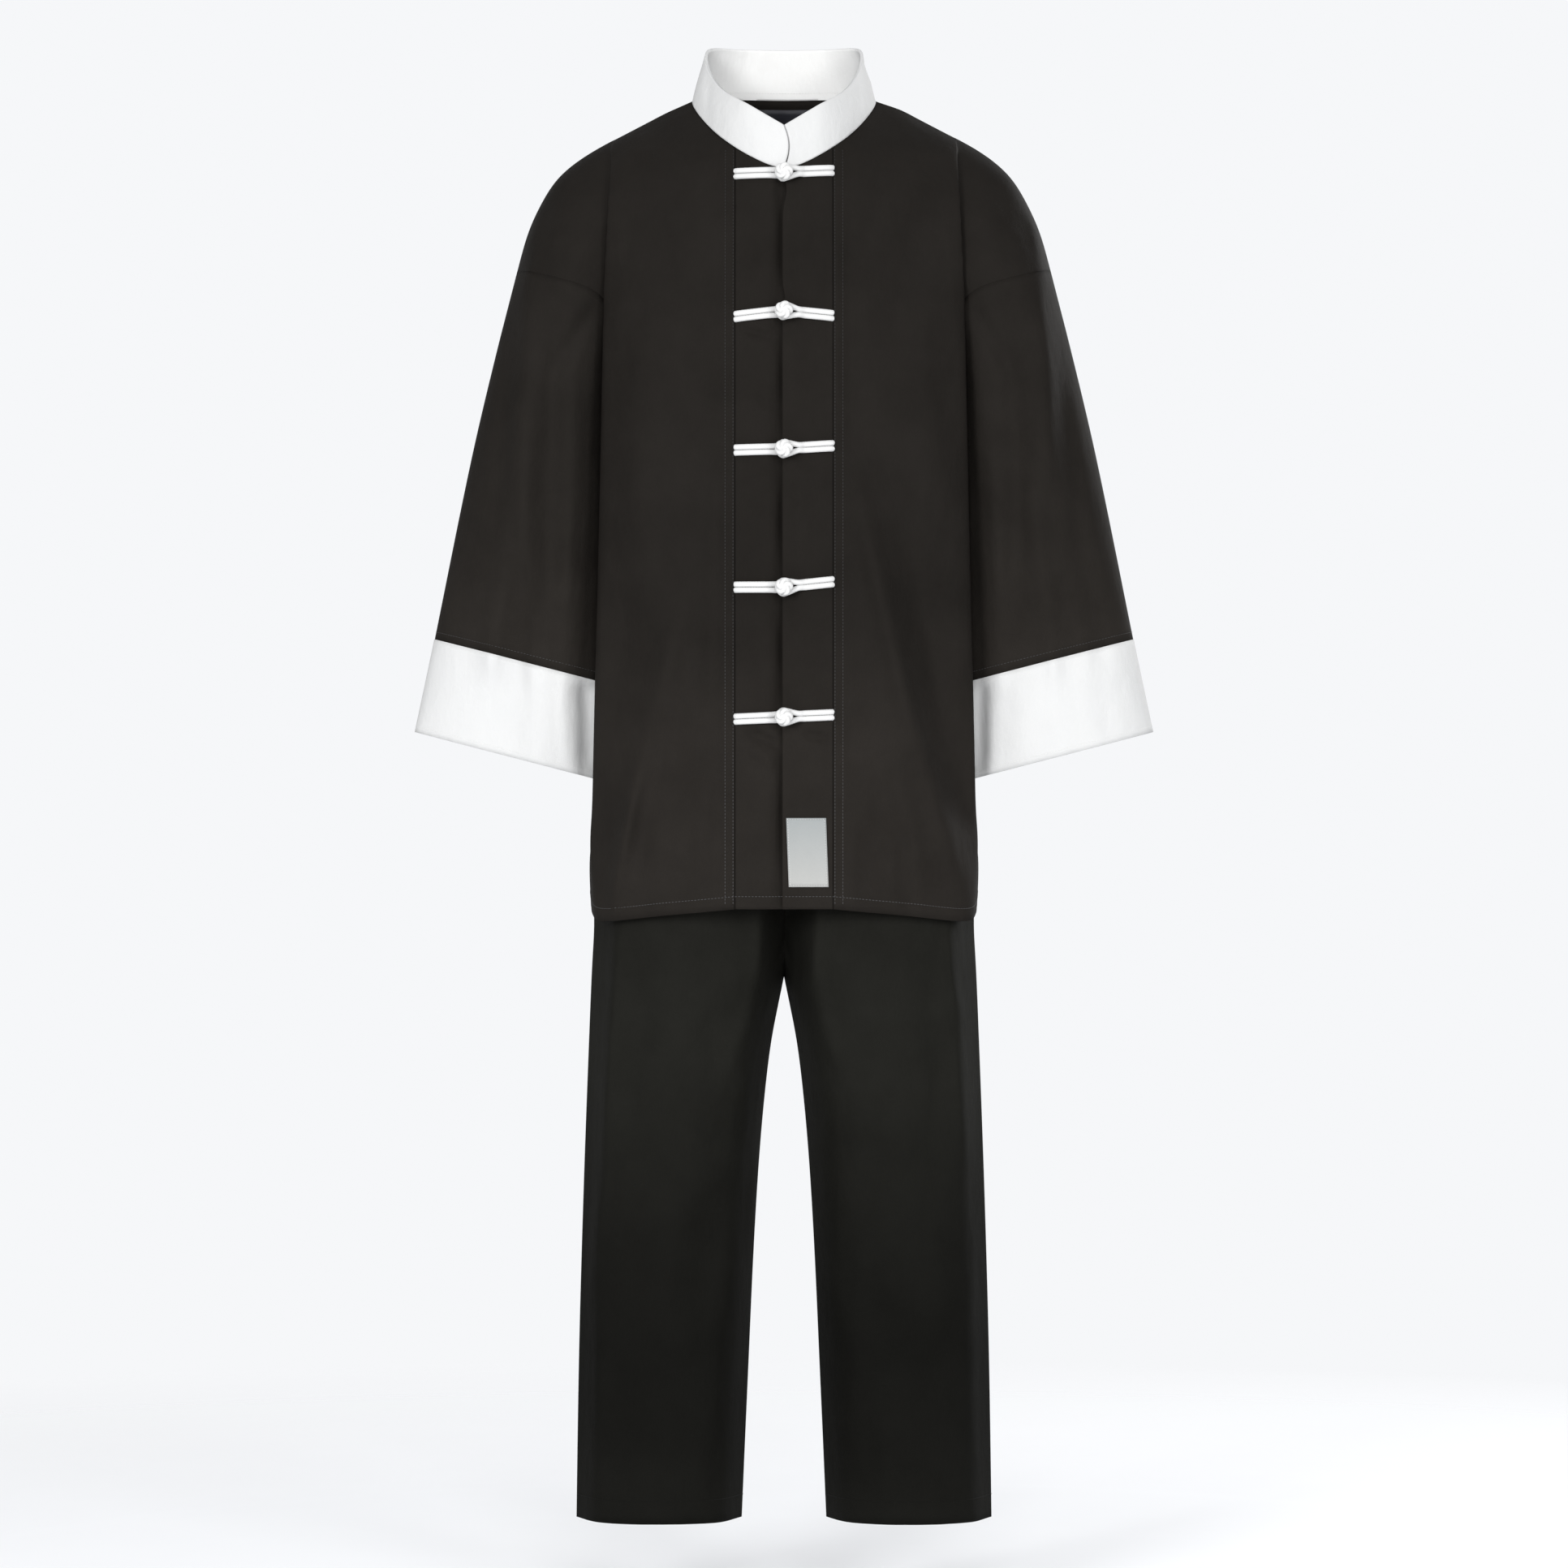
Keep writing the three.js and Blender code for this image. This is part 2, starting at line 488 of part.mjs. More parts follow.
function legPanel(innerY, deepY) {
  const rows = LEG_SECTIONS.map((s) => {
    const inner = new THREE.Vector3(s.innerX, s[innerY], s.z);
    const side = new THREE.Vector3(s.sideX, 0, s.z);
    const between = LEG_RAILS.map((r) => {
      const edgeY = r.across < 0.5 ? s[innerY] : 0;
      const deep = r.across === 0.5 ? 1 : Math.max(r.deep, edgeY / s[deepY]);
      return new THREE.Vector3(mix(s.innerX, s.sideX, r.across), s[deepY] * deep, s.z);
    });
    return [inner, ...between, side];
  });
  return skin(transpose(rows), LEG_SECTIONS.slice(0, -1).map((s) => s.steps), LEG_RAIL_STEPS, [CROTCH_LEVEL]);
}
const leftLegFrontBase = legPanel('innerFrontY', 'frontY');
const leftLegBack = legPanel('innerBackY', 'backY');
const leftLegFront = draped(TROUSER_FOLDS, leftLegFrontBase);
const rightLegFront = draped(TROUSER_FOLDS, leftLegFrontBase.map((row) => row.map(mirrorX)));
const rightLegBack = leftLegBack.map((row) => row.map(mirrorX));
const legAxis = (sign) => (p) => {
  const upper = smooth((p.z + 841) / 120);
  return new THREE.Vector3(sign * mix(112, 60, upper), 0, p.z);
};
const waistRing = [
  ...leftLegFront.at(-1),
  ...leftLegBack.at(-1).slice(0, -1).reverse(),
  ...rightLegBack.at(-1).slice(1),
  ...rightLegFront.at(-1).slice(1, -1).reverse(),
];
const waistbandTop = waistRing.map((p) => new THREE.Vector3(p.x, p.y, WAISTBAND_TOP_Z));
const waistband = [waistRing, waistbandTop];

// Layers: every panel of a layer is added before any wall is made, so that seams share their normals.
const jacketLayer = new Layer();
for (const grid of [leftFront, rightFront, fullBack, leftBand, rightBand]) jacketLayer.add(grid, bodyAxis);
for (const grid of [leftWhole, rightWhole]) jacketLayer.add(grid, ringCentre(grid), true);
jacketLayer.add(collarGrid, (p) => new THREE.Vector3(0, -10, p.z));
const trouserLayer = new Layer();
for (const grid of [leftLegFront, leftLegBack]) trouserLayer.add(grid, legAxis(1));
for (const grid of [rightLegFront, rightLegBack]) trouserLayer.add(grid, legAxis(-1));
trouserLayer.add(waistband, (p) => new THREE.Vector3(0, 0, p.z), true);

// A point between grid points, and the row of a grid whose first column has the given height.
function gridAt(grid, row, column) {
  const j = Math.min(grid.length - 2, Math.floor(row));
  const i = Math.min(grid[0].length - 2, Math.floor(column));
  const low = grid[j][i].clone().lerp(grid[j][i + 1], column - i);
  const high = grid[j + 1][i].clone().lerp(grid[j + 1][i + 1], column - i);
  return low.lerp(high, row - j);
}
function rowAt(grid, column, z) {
  const heights = grid.map((row) => row[column].z);
  const j = heights.slice(1, -1).filter((h) => h < z).length;
  return j + (z - heights[j]) / (heights[j + 1] - heights[j]);
}

// The band surface at x and z, on either side of the centre line.
function bandSurface(x, z) {
  const seams = seamOf(leftFrontBase);
  const column = seams.map((seam) => [bandPoint(seam, Math.min(Math.abs(x), BAND_SEAM_X))]);
  const p = gridAt(column.map(([q]) => [q, q]), rowAt(column, 0, z), 0);
  return new THREE.Vector3(x, p.y, z);
}

// Frogs: a cord loop and a knotted cord meet at the centre line. Both are doubled cords with their ends
// in the band seams. The heights are at the knotted cord's end, at the knot and at the loop's end.
const FROGS = [
  { outZ: -79, centreZ: -79, loopZ: -76 },
  { outZ: -216, centreZ: -211, loopZ: -215 },
  { outZ: -342, centreZ: -341, loopZ: -338 },
  { outZ: -471, centreZ: -471, loopZ: -466 },
  { outZ: -595, centreZ: -593, loopZ: -591 },
];
const CORD = { radius: 2.6, sides: 6, spacing: 5.3 };
const CORD_LIFT = 3;
const KNOT = { radius: 8.8, depth: 5.2, lift: 16.8 };
const LOOP = { radius: 6.2, lift: 8.4 };
const FROG_END_X = 45;

function solidOf(geometry) {
  const g = geometry.clone();
  g.deleteAttribute('normal');
  g.deleteAttribute('uv');
  const merged = mergeVertices(g, 1e-4);
  return new wasm.Manifold(new wasm.Mesh({
    numProp: 3,
    vertProperties: merged.attributes.position.array,
    triVerts: new Uint32Array(merged.index.array),
  }));
}
function geometryOf(solid) {
  const m = solid.getMesh();
  return new THREE.BufferGeometry()
    .setAttribute('position', new THREE.BufferAttribute(new Float32Array(m.vertProperties), 3))
    .setIndex(new THREE.BufferAttribute(new Uint32Array(m.triVerts), 1));
}
function cordAlong(points, steps) {
  const circle = new THREE.Shape(
    Array.from({ length: CORD.sides }, (_, k) => {
      const turn = (2 * Math.PI * k) / CORD.sides;
      return new THREE.Vector2(CORD.radius * Math.cos(turn), CORD.radius * Math.sin(turn));
    }),
  );
  const extrudePath = new THREE.CatmullRomCurve3(points, false, 'centripetal');
  return new THREE.ExtrudeGeometry(circle, { steps, extrudePath, bevelEnabled: false });
}
const overBand = (x, z, lift) => {
  const p = bandSurface(x, z);
  return new THREE.Vector3(x, p.y - lift, z);
};

// The knotted half: a doubled cord, pinched into a short neck that carries the round knot.
function knotHalf(f) {
  const half = CORD.spacing / 2;
  const zAt = (x) => mix(f.centreZ, f.outZ, -x / FROG_END_X);
  const path = [-FROG_END_X, -30, -15, -4].map((x) => overBand(x, zAt(x) + half, CORD_LIFT));
  path.push(overBand(-0.5, f.centreZ, CORD_LIFT));
  path.push(...[-4, -15, -30, -FROG_END_X].map((x) => overBand(x, zAt(x) - half, CORD_LIFT)));
  const cords = solidOf(cordAlong(path, 16));
  const base = overBand(0, f.centreZ, 0);
  const neckLength = KNOT.lift - CORD_LIFT;
  const neck = new THREE.CylinderGeometry(2.4, 2.4, neckLength, 6)
    .translate(base.x, base.y - CORD_LIFT - neckLength / 2, base.z);
  const knot = new THREE.SphereGeometry(1, 12, 8)
    .scale(KNOT.radius, KNOT.depth, KNOT.radius)
    .translate(base.x, base.y - KNOT.lift, base.z);
  return geometryOf(cords.add(solidOf(neck)).add(solidOf(knot)));
}

// The loop half: one cord comes from the band seam, goes round the knot's neck and returns beside itself.
function loopHalf(f) {
  const half = CORD.spacing / 2;
  const zAt = (x) => mix(f.centreZ, f.loopZ, x / FROG_END_X);
  const rise = (x) => mix(LOOP.lift, CORD_LIFT, smooth((x - 8) / 12));
  const side = (sign) => [FROG_END_X, 32, 20, 13].map((x) => overBand(x, zAt(x) + sign * half, rise(x)));
  const turn = [-65, -110, -180, -250, -295].map((degrees) => {
    const a = THREE.MathUtils.degToRad(degrees);
    const x = LOOP.radius * Math.cos(a);
    return overBand(x, f.centreZ - LOOP.radius * Math.sin(a), LOOP.lift);
  });
  return cordAlong([...side(1), ...turn, ...side(-1).reverse()], 26);
}

// Labels are thin patches made from the points of the cloth that they are sewn to, moved off it.
function patch(layer, grid, from, thickness) {
  const skinAt = (d) => offset(layer, grid, d);
  return closedWall(skinAt(from + thickness), skinAt(from), false);
}
const LABEL = { x0: 2, x1: 39.5, low: -753, high: -688, lean: 2.4 };
const labelRows = [0, 0.5, 1].map((up) => ({
  z: LABEL.low + (LABEL.high - LABEL.low) * up,
  shift: LABEL.lean * (1 - up),
}));
const labelColumns = [LABEL.x0, (LABEL.x0 + LABEL.x1) / 2, LABEL.x1];
const labelGrid = labelRows.map(({ z, shift }) => labelColumns.map((x) => bandSurface(x + shift, z)));
const labelLayer = new Layer();
labelLayer.add(labelGrid, bodyAxis);

// The small neck label hangs inside the back, under the collar seam.
const backCentre = leftBack[0].length - 1;
const NECK_LABEL_ROWS = [topRow - 1.7, topRow - 1.1, topRow - 0.35];
const neckLabelGrid = NECK_LABEL_ROWS.map((row) =>
  [-1, -0.5, 0, 0.5, 1].map((column) => gridAt(fullBack, row, backCentre + column)));
const neckLabelLayer = new Layer();
neckLabelLayer.add(neckLabelGrid, bodyAxis);

const jacket = new THREE.Group();
jacket.add(mesh('jacket_back', panel(jacketLayer, fullBack, BODY_CLOTH), black));
jacket.add(mesh('jacket_front_left', panel(jacketLayer, leftFront, BODY_CLOTH), black));
jacket.add(mesh('jacket_front_right', panel(jacketLayer, rightFront, BODY_CLOTH), black));
jacket.add(mesh('front_band_left', panel(jacketLayer, leftBand, BAND_CLOTH), black));
jacket.add(mesh('front_band_right', panel(jacketLayer, rightBand, BAND_CLOTH), black));
for (const [name, whole] of [['left', leftWhole], ['right', rightWhole]]) {
  const sleeve = panel(jacketLayer, whole.slice(0, cuffRow + 1), BODY_CLOTH, { wrap: true });
  const cuff = panel(jacketLayer, whole.slice(cuffRow), CUFF_CLOTH, { wrap: true, out: 0.5 });
  jacket.add(mesh(`sleeve_${name}`, sleeve, black));
  jacket.add(mesh(`cuff_${name}`, cuff, white));
}
const collar = panel(jacketLayer, collarGrid, COLLAR_CLOTH, { out: 0.3, gap: 0.5 });
jacket.add(mesh('collar', collar, white));
FROGS.forEach((f, k) => {
  jacket.add(mesh(`frog_knot_${k + 1}`, knotHalf(f), white));
  jacket.add(mesh(`frog_loop_${k + 1}`, loopHalf(f), white));
});
jacket.add(mesh('hem_label', patch(labelLayer, labelGrid, 0.4, LABEL_CLOTH), grey));
const neckLabelFrom = -BODY_CLOTH - 0.5 - LABEL_CLOTH;
jacket.add(mesh('neck_label', patch(neckLabelLayer, neckLabelGrid, neckLabelFrom, LABEL_CLOTH), black));

const trousers = new THREE.Group();
trousers.add(mesh('leg_front_left', panel(trouserLayer, leftLegFront, BODY_CLOTH), black));
trousers.add(mesh('leg_back_left', panel(trouserLayer, leftLegBack, BODY_CLOTH), black));
trousers.add(mesh('leg_front_right', panel(trouserLayer, rightLegFront, BODY_CLOTH), black));
trousers.add(mesh('leg_back_right', panel(trouserLayer, rightLegBack, BODY_CLOTH), black));
const waistWall = panel(trouserLayer, waistband, WAISTBAND_CLOTH, { wrap: true, sides: ['bottom'] });
trousers.add(mesh('waistband', waistWall, black));

const uniform = new THREE.Group();
uniform.add(jacket, trousers);
export default uniform;
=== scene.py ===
import math
from collections import namedtuple

import bmesh
import bpy
import numpy as np
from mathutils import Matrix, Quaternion, Vector, noise
from mathutils.bvhtree import BVHTree


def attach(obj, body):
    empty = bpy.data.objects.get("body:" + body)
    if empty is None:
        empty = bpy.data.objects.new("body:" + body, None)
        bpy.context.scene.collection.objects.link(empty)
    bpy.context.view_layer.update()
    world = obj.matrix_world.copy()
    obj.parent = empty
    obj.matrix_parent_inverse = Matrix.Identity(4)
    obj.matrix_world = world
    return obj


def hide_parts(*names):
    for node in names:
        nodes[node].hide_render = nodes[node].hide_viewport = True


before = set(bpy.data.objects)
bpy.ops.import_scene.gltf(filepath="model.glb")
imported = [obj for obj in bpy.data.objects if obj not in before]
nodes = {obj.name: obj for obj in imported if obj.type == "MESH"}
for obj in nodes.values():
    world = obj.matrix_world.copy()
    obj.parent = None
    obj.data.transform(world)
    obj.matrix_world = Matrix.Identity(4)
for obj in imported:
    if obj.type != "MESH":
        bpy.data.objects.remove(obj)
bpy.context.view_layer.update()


# Trousers
# Four leg panels and a plain waistband of black cotton drill. Inseams, side seams and the centre seam join
# them. The waist is hidden under the jacket.

MM = 0.001
SIDES = {"left": 1, "right": -1}
scene = bpy.context.scene


def smooth(t):
    """0 below 0, 1 above 1, and a soft step between."""
    t = np.clip(t, 0, 1)
    return t * t * (3 - 2 * t)


def hump(value, middle, reach):
    """1 at the middle, and softly down to nothing at about twice the reach from it."""
    return np.exp(-(((value - middle) / reach) ** 2))


class Value:
    """An output socket of a material. Sums and products of values make Math nodes."""

    def __init__(self, tree, socket):
        self.tree, self.socket = tree, socket

    def node(self, kind, output=0, settings=None, **inputs):
        """A new node. Its inputs are given by name, or by place as input0, input1 and so on."""
        made = self.tree.nodes.new(kind)
        for key, setting in (settings or {}).items():
            setattr(made, key, setting)
        for key, value in inputs.items():
            socket = int(key[5:]) if key.startswith("input") else key.replace("_", " ")
            self.feed(made.inputs[socket], value)
        return Value(self.tree, made.outputs[output])

    def feed(self, target, value):
        if isinstance(value, Value):
            self.tree.links.new(value.socket, target)
        else:
            target.default_value = value

    def math(self, operation, *others):
        inputs = {f"input{k}": v for k, v in enumerate([self, *others])}
        return self.node("ShaderNodeMath", settings={"operation": operation}, **inputs)

    def __add__(self, other):
        return self.math("ADD", other)

    def __sub__(self, other):
        return self.math("SUBTRACT", other)

    def __mul__(self, other):
        return self.math("MULTIPLY", other)

    def __truediv__(self, other):
        return self.math("DIVIDE", other)

    def __rsub__(self, other):
        return self * -1 + other

    __radd__, __rmul__ = __add__, __mul__

    def __abs__(self):
        return self.math("ABSOLUTE")

    def sin(self):
        return self.math("SINE")

    def clamp(self):
        return self.node("ShaderNodeClamp", Value=self)

    def xyz(self):
        parts = self.node("ShaderNodeSeparateXYZ", Vector=self).socket.node
        return [Value(self.tree, socket) for socket in parts.outputs]

    def scaled(self, x, y, z):
        settings = {"operation": "MULTIPLY"}
        return self.node("ShaderNodeVectorMath", settings=settings, input0=self, input1=(x, y, z))

    def noise(self, scale, detail=3, rough=0.5):
        return self.node("ShaderNodeTexNoise", Vector=self, Scale=scale, Detail=detail, Roughness=rough)

    def between(self, low, high):
        """A colour between two, by this value."""
        mixed = self.node("ShaderNodeMix", output=2, settings={"data_type": "RGBA"})
        inputs = mixed.socket.node.inputs
        self.feed(inputs[0], self)
        for k, colour in ((6, low), (7, high)):
            self.feed(inputs[k], colour if isinstance(colour, Value) else (*colour, 1))
        return mixed

    def times(self, factor):
        """A colour made lighter or darker."""
        return self.node("ShaderNodeVectorMath", settings={"operation": "SCALE"}, input0=self, Scale=factor)

    def bump(self, distance, strength, under=None):
        """A normal with this value as its relief, on the one under it if there is one."""
        inputs = {"Height": self, "Distance": distance, "Strength": strength}
        if under:
            inputs["Normal"] = under
        return self.node("ShaderNodeBump", **inputs)


def new_material(name, **sockets):
    """A material, its object coordinates, and its shader with the given plain sockets set."""
    material = bpy.data.materials.new(name)
    material.use_nodes = True
    tree = material.node_tree
    shader = tree.nodes["Principled BSDF"]
    for key, value in sockets.items():
        shader.inputs[key.replace("_", " ")].default_value = value
    start = tree.nodes.new("ShaderNodeTexCoord")
    return material, Value(tree, start.outputs["Object"]), shader


def graded(z, stops):
    """A value that changes from stop to stop down the cloth. Stops are (height, value), the highest first."""
    total = stops[0][1]
    for (high, before), (low, after) in zip(stops, stops[1:]):
        total = ((high - z) / (high - low)).clamp() * (after - before) + total
    return total


def beside(x, middle, reach):
    """1 at the middle, on the left and on the right of the centre front, and 0 from the reach away."""
    return (1 - abs(abs(x) - middle) / reach).clamp()


# The seams between the front bands and the fronts: the place of the dark line of each, and of the puckers
# beside it.
SEAM_X, SEAM_REACH = 0.0462, 0.0011
PUCKER_X, PUCKER_REACH = 0.051, 0.011
# In the collar, the faces inside the back lie behind this. White cotton behind it that faces forwards gets
# painted light: a paler colour that stands in for the light missing in their shade.
PAINTED_LIGHT_BEHIND_Y = 0.015


def cotton(name, low, high, pitch, relief, roughness, shine, pucker=0, tones=None, inside=None):
    """Woven cotton: a fine diagonal weave, faint clouding and soft small rumples. pitch and relief, in
    metres, are the weave's. pucker adds the front band seams, with the cloth drawn up beside them. tones
    make it lighter or darker by height, and inside is painted light: a paler colour for the faces inside
    the back, which lie in shade."""
    material, place, shader = new_material(name, Specular_IOR_Level=shine)
    x, y, z = place.xyz()
    nx, ny, _ = place.node("ShaderNodeNewGeometry", output="Normal").xyz()
    sideways = ((abs(nx) - abs(ny)) * 8 + 0.5).clamp()
    across = x * (1 - sideways) + y * sideways
    turn = 2 * math.pi / pitch
    twill = ((across + z) * turn).sin()
    counter = ((across - z) * (turn * 0.62)).sin()
    weave = (twill * 0.6 + counter * 0.4).bump(relief, 0.5)
    rumple = place.scaled(1.5, 1.5, 0.8).noise(42, 5, 0.55)
    normal = rumple.bump(0.0035, 0.35, weave)
    cloud = place.noise(14, 4, 0.6)
    fleck = place.noise(1100, 2, 0.7)
    colour = (cloud * 0.75 + fleck * 0.5 - 0.125).clamp().between(low, high)
    if tones:
        colour = colour.times(graded(z, tones))
    if pucker:
        gathers = place.scaled(0.25, 0, 1).noise(95, 2, 0.5) * beside(x, PUCKER_X, PUCKER_REACH)
        normal = gathers.bump(0.003, pucker, normal)
        seam_line = beside(x, SEAM_X, SEAM_REACH) * (ny * -4).clamp()
        colour = colour.times(1 - seam_line * 0.6)
    # Painted light: forward-facing faces behind the line, in the shade inside the back, take the paler inside
    # colour.
    if inside:
        painted_light_mask = (ny * -3).clamp() * ((y - PAINTED_LIGHT_BEHIND_Y) * 25).clamp()
        colour = painted_light_mask.between(colour, inside)
    place.feed(shader.inputs["Base Color"], colour)
    place.feed(shader.inputs["Roughness"], (fleck - 0.5) * 0.16 + roughness)
    place.feed(shader.inputs["Normal"], normal)
    return material


# Tones are (height, brightness), in metres.
LEG_TONES = [(-0.80, 1.65), (-0.92, 1.65), (-1.08, 1.03), (-1.19, 0.78), (-1.28, 0.84), (-1.36, 1.05)]
trouser_cotton = cotton(
    "trouser_cotton", (0.0040, 0.0039, 0.0032), (0.0092, 0.0091, 0.0078), pitch=0.0009, relief=0.00012,
    roughness=0.78, shine=0.035, tones=LEG_TONES)

FRONT, BACK = -1, 1
Crease = namedtuple("Crease", "side x0 z0 x1 z1 bow width height")

# Soft ridges, and troughs where the height is negative, from one point of the front view to another. Each
# bows to one side at its middle, and is width wide on each side of its line.
TROUSER_CREASES = [
    Crease(FRONT, -156, -785, -170, -1040, 4, 6, 5.8),
    Crease(FRONT, -169, -1010, -187, -1165, 3, 7, 4.4),
    Crease(FRONT, -136, -815, -146, -1010, 0, 14, -4.4),
    Crease(FRONT, -26, -1010, -88, -1200, 10, 24, -8.5),
    Crease(FRONT, -96, -880, -104, -1120, -6, 20, 4.1),
    Crease(FRONT, -58, -1165, -150, -1222, 6, 22, 5.1),
    Crease(FRONT, 4, -735, 3, -850, 0, 16, -15),
    Crease(FRONT, -24, -735, -20, -850, 0, 9, 9),
    Crease(FRONT, 34, -735, 27, -850, 0, 9, 9),
    Crease(FRONT, -12, -832, -92, -905, -8, 14, -2.2),
    Crease(FRONT, -18, -800, -62, -948, -6, 10, 4.1),
    Crease(FRONT, -104, -1240, -112, -1352, 3, 14, 4.1),
    Crease(FRONT, -66, -1270, -64, -1350, 0, 10, -3.4),
    Crease(FRONT, 156, -785, 168, -880, 3, 6, 5.8),
    Crease(FRONT, 167, -865, 178, -1030, 3, 7, 3.7),
    Crease(FRONT, 138, -820, 150, -985, 0, 13, -4.1),
    Crease(FRONT, 46, -962, 126, -1012, -10, 26, 6.8),
    Crease(FRONT, 44, -1118, 116, -1166, 8, 22, -6.8),
    Crease(FRONT, 86, -1196, 156, -1216, 4, 17, -5.1),
    Crease(FRONT, 12, -832, 94, -908, 8, 14, -2.2),
    Crease(FRONT, 18, -800, 66, -956, 6, 10, 4.1),
    Crease(FRONT, 96, -1238, 100, -1352, -3, 16, 4.4),
    Crease(FRONT, 140, -1060, 152, -1190, 0, 12, 3.4),
    Crease(BACK, -16, -838, -116, -930, 10, 12, -6.8),
    Crease(BACK, 16, -838, 112, -936, -10, 12, -6.8),
    Crease(BACK, -108, -900, -118, -1300, 6, 18, 6.1),
    Crease(BACK, 106, -920, 112, -1280, -6, 18, 6.1),
    Crease(BACK, -56, -1036, -150, -1090, 8, 18, -5.8),
    Crease(BACK, 50, -1052, 144, -1096, -8, 18, -5.8),
    Crease(BACK, -150, -860, -160, -1100, 0, 12, 5.1),
    Crease(BACK, 152, -870, 164, -1120, 0, 12, 5.1),
    Crease(BACK, -70, -1236, -150, -1276, 5, 15, -4.8),
    Crease(BACK, 66, -1220, 146, -1270, 5, 15, -4.8),
    Crease(BACK, -76, -1280, -80, -1352, 0, 12, 4.1),
    Crease(BACK, 120, -1270, 126, -1352, 0, 12, 4.1),
]


# A crease belongs to the front or the back, wholly so from this far off the middle. It runs past each of its
# ends by a part of its length, and fades over another.
FACE_REACH = 26
CREASE_PAST, CREASE_FADE = 0.1, 0.4


def lifts(points, creases):
    """How far each point, in millimetres, is lifted by the creases towards the front or back."""
    x, y, z = points.T
    lift = np.zeros(len(points))
    for c in creases:
        dx, dz = c.x1 - c.x0, c.z1 - c.z0
        length = math.hypot(dx, dz)
        along = ((x - c.x0) * dx + (z - c.z0) * dz) / length**2
        bow = c.bow * np.sin(math.pi * np.clip(along, 0, 1))
        off = ((x - c.x0) * dz - (z - c.z0) * dx) / length - bow
        ends = smooth((along + CREASE_PAST) / CREASE_FADE) * smooth((1 + CREASE_PAST - along) / CREASE_FADE)
        lift += c.height * ends * smooth(c.side * y / FACE_REACH) * hump(off, 0, c.width)
    return lift


WAVE_ACROSS, WAVE_DOWN = 70, 190


def unevenness(points, height):
    """A slow random waviness of cloth that hangs, longer downwards than across."""
    spots = [Vector((x / WAVE_ACROSS, y / WAVE_ACROSS, z / WAVE_DOWN)) for x, y, z in points]
    return height * np.array([noise.fractal(spot, 0.8, 2.2, 3) for spot in spots])


# The waviness is none at the side seams, and full from this far off the middle.
WAVE_REACH = 40


def drape(points, creases, uneven=3):
    """Moves points, in metres, by the creases and the waviness."""
    mm = points / MM
    lift = lifts(mm, creases) + unevenness(mm, uneven) * smooth(np.abs(mm[:, 1]) / WAVE_REACH)
    moved = mm.copy()
    moved[:, 1] += np.where(mm[:, 1] < 0, -lift, lift)
    return moved * MM


# Points closer than MERGE, in metres, are one. Triangles are joined where they meet at less than FLAT, and a
# rim's edges are creased from SHARP on, in radians.
MERGE, FLAT, SHARP = 2e-5, 0.8, 0.7


def panel_cage(node, wall, reach):
    """The solid's quads with its rims creased, and pushed out by reach so that seams close. A rim's faces
    are about as narrow as the wall."""
    bm = bmesh.new()
    bm.from_mesh(nodes[node].data)
    bmesh.ops.remove_doubles(bm, verts=bm.verts, dist=MERGE)
    bmesh.ops.join_triangles(bm, faces=bm.faces, angle_face_threshold=FLAT, angle_shape_threshold=math.pi)
    bmesh.ops.recalc_face_normals(bm, faces=bm.faces)
    rims = {f for f in bm.faces if min(e.calc_length() for e in f.edges) < wall * 1.5}
    crease = bm.edges.layers.float.new("crease_edge")
    for edge in bm.edges:
        if len(edge.link_faces) == 2 and set(edge.link_faces) & rims and edge.calc_face_angle() > SHARP:
            edge[crease] = 1
    pushes = {}
    for vert in bm.verts:
        ways = []
        for face in vert.link_faces:
            if face in rims and all(way.dot(face.normal) < 0.5 for way in ways):
                ways.append(face.normal.copy())
        if ways:
            pushes[vert] = sum(ways, Vector()) * reach
    for vert, push in pushes.items():
        vert.co += push
    return bm


def evaluated_mesh(source, name):
    """The mesh that an object's modifiers make. The object is then removed."""
    graph = bpy.context.evaluated_depsgraph_get()
    made = bpy.data.meshes.new_from_object(source.evaluated_get(graph), depsgraph=graph)
    made.name = name
    bpy.data.objects.remove(source)
    return made


def points_of(mesh):
    points = np.empty(len(mesh.vertices) * 3)
    mesh.vertices.foreach_get("co", points)
    return points.reshape(-1, 3)


def move_points(mesh, move):
    mesh.vertices.foreach_set("co", move(points_of(mesh)).ravel())
    mesh.update()


def tighten(source, rounds=2):
    """Moves a cage's points out until its finer mesh passes through where they were. The cage's points are
    the first ones of the finer mesh."""
    wanted = points_of(source.data)
    for _ in range(rounds):
        bpy.context.view_layer.update()
        finer = source.evaluated_get(bpy.context.evaluated_depsgraph_get())
        reached = points_of(finer.to_mesh())[:len(wanted)]
        finer.to_mesh_clear()
        move_points(source.data, lambda points: points + wanted - reached)


def add_piece(name, mesh, material, replaced=None):
    mesh.materials.clear()
    mesh.materials.append(material)
    obj = bpy.data.objects.new(name, mesh)
    scene.collection.objects.link(obj)
    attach(obj, "root")
    if replaced:
        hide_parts(replaced)
    return obj


# Each side of a seam is pushed out a little more than half of the gap between the solids.
SEAM_PUSH = 0.17
# Faces that meet at more than so many degrees keep a sharp edge between them.
SHARP_EDGE = 52


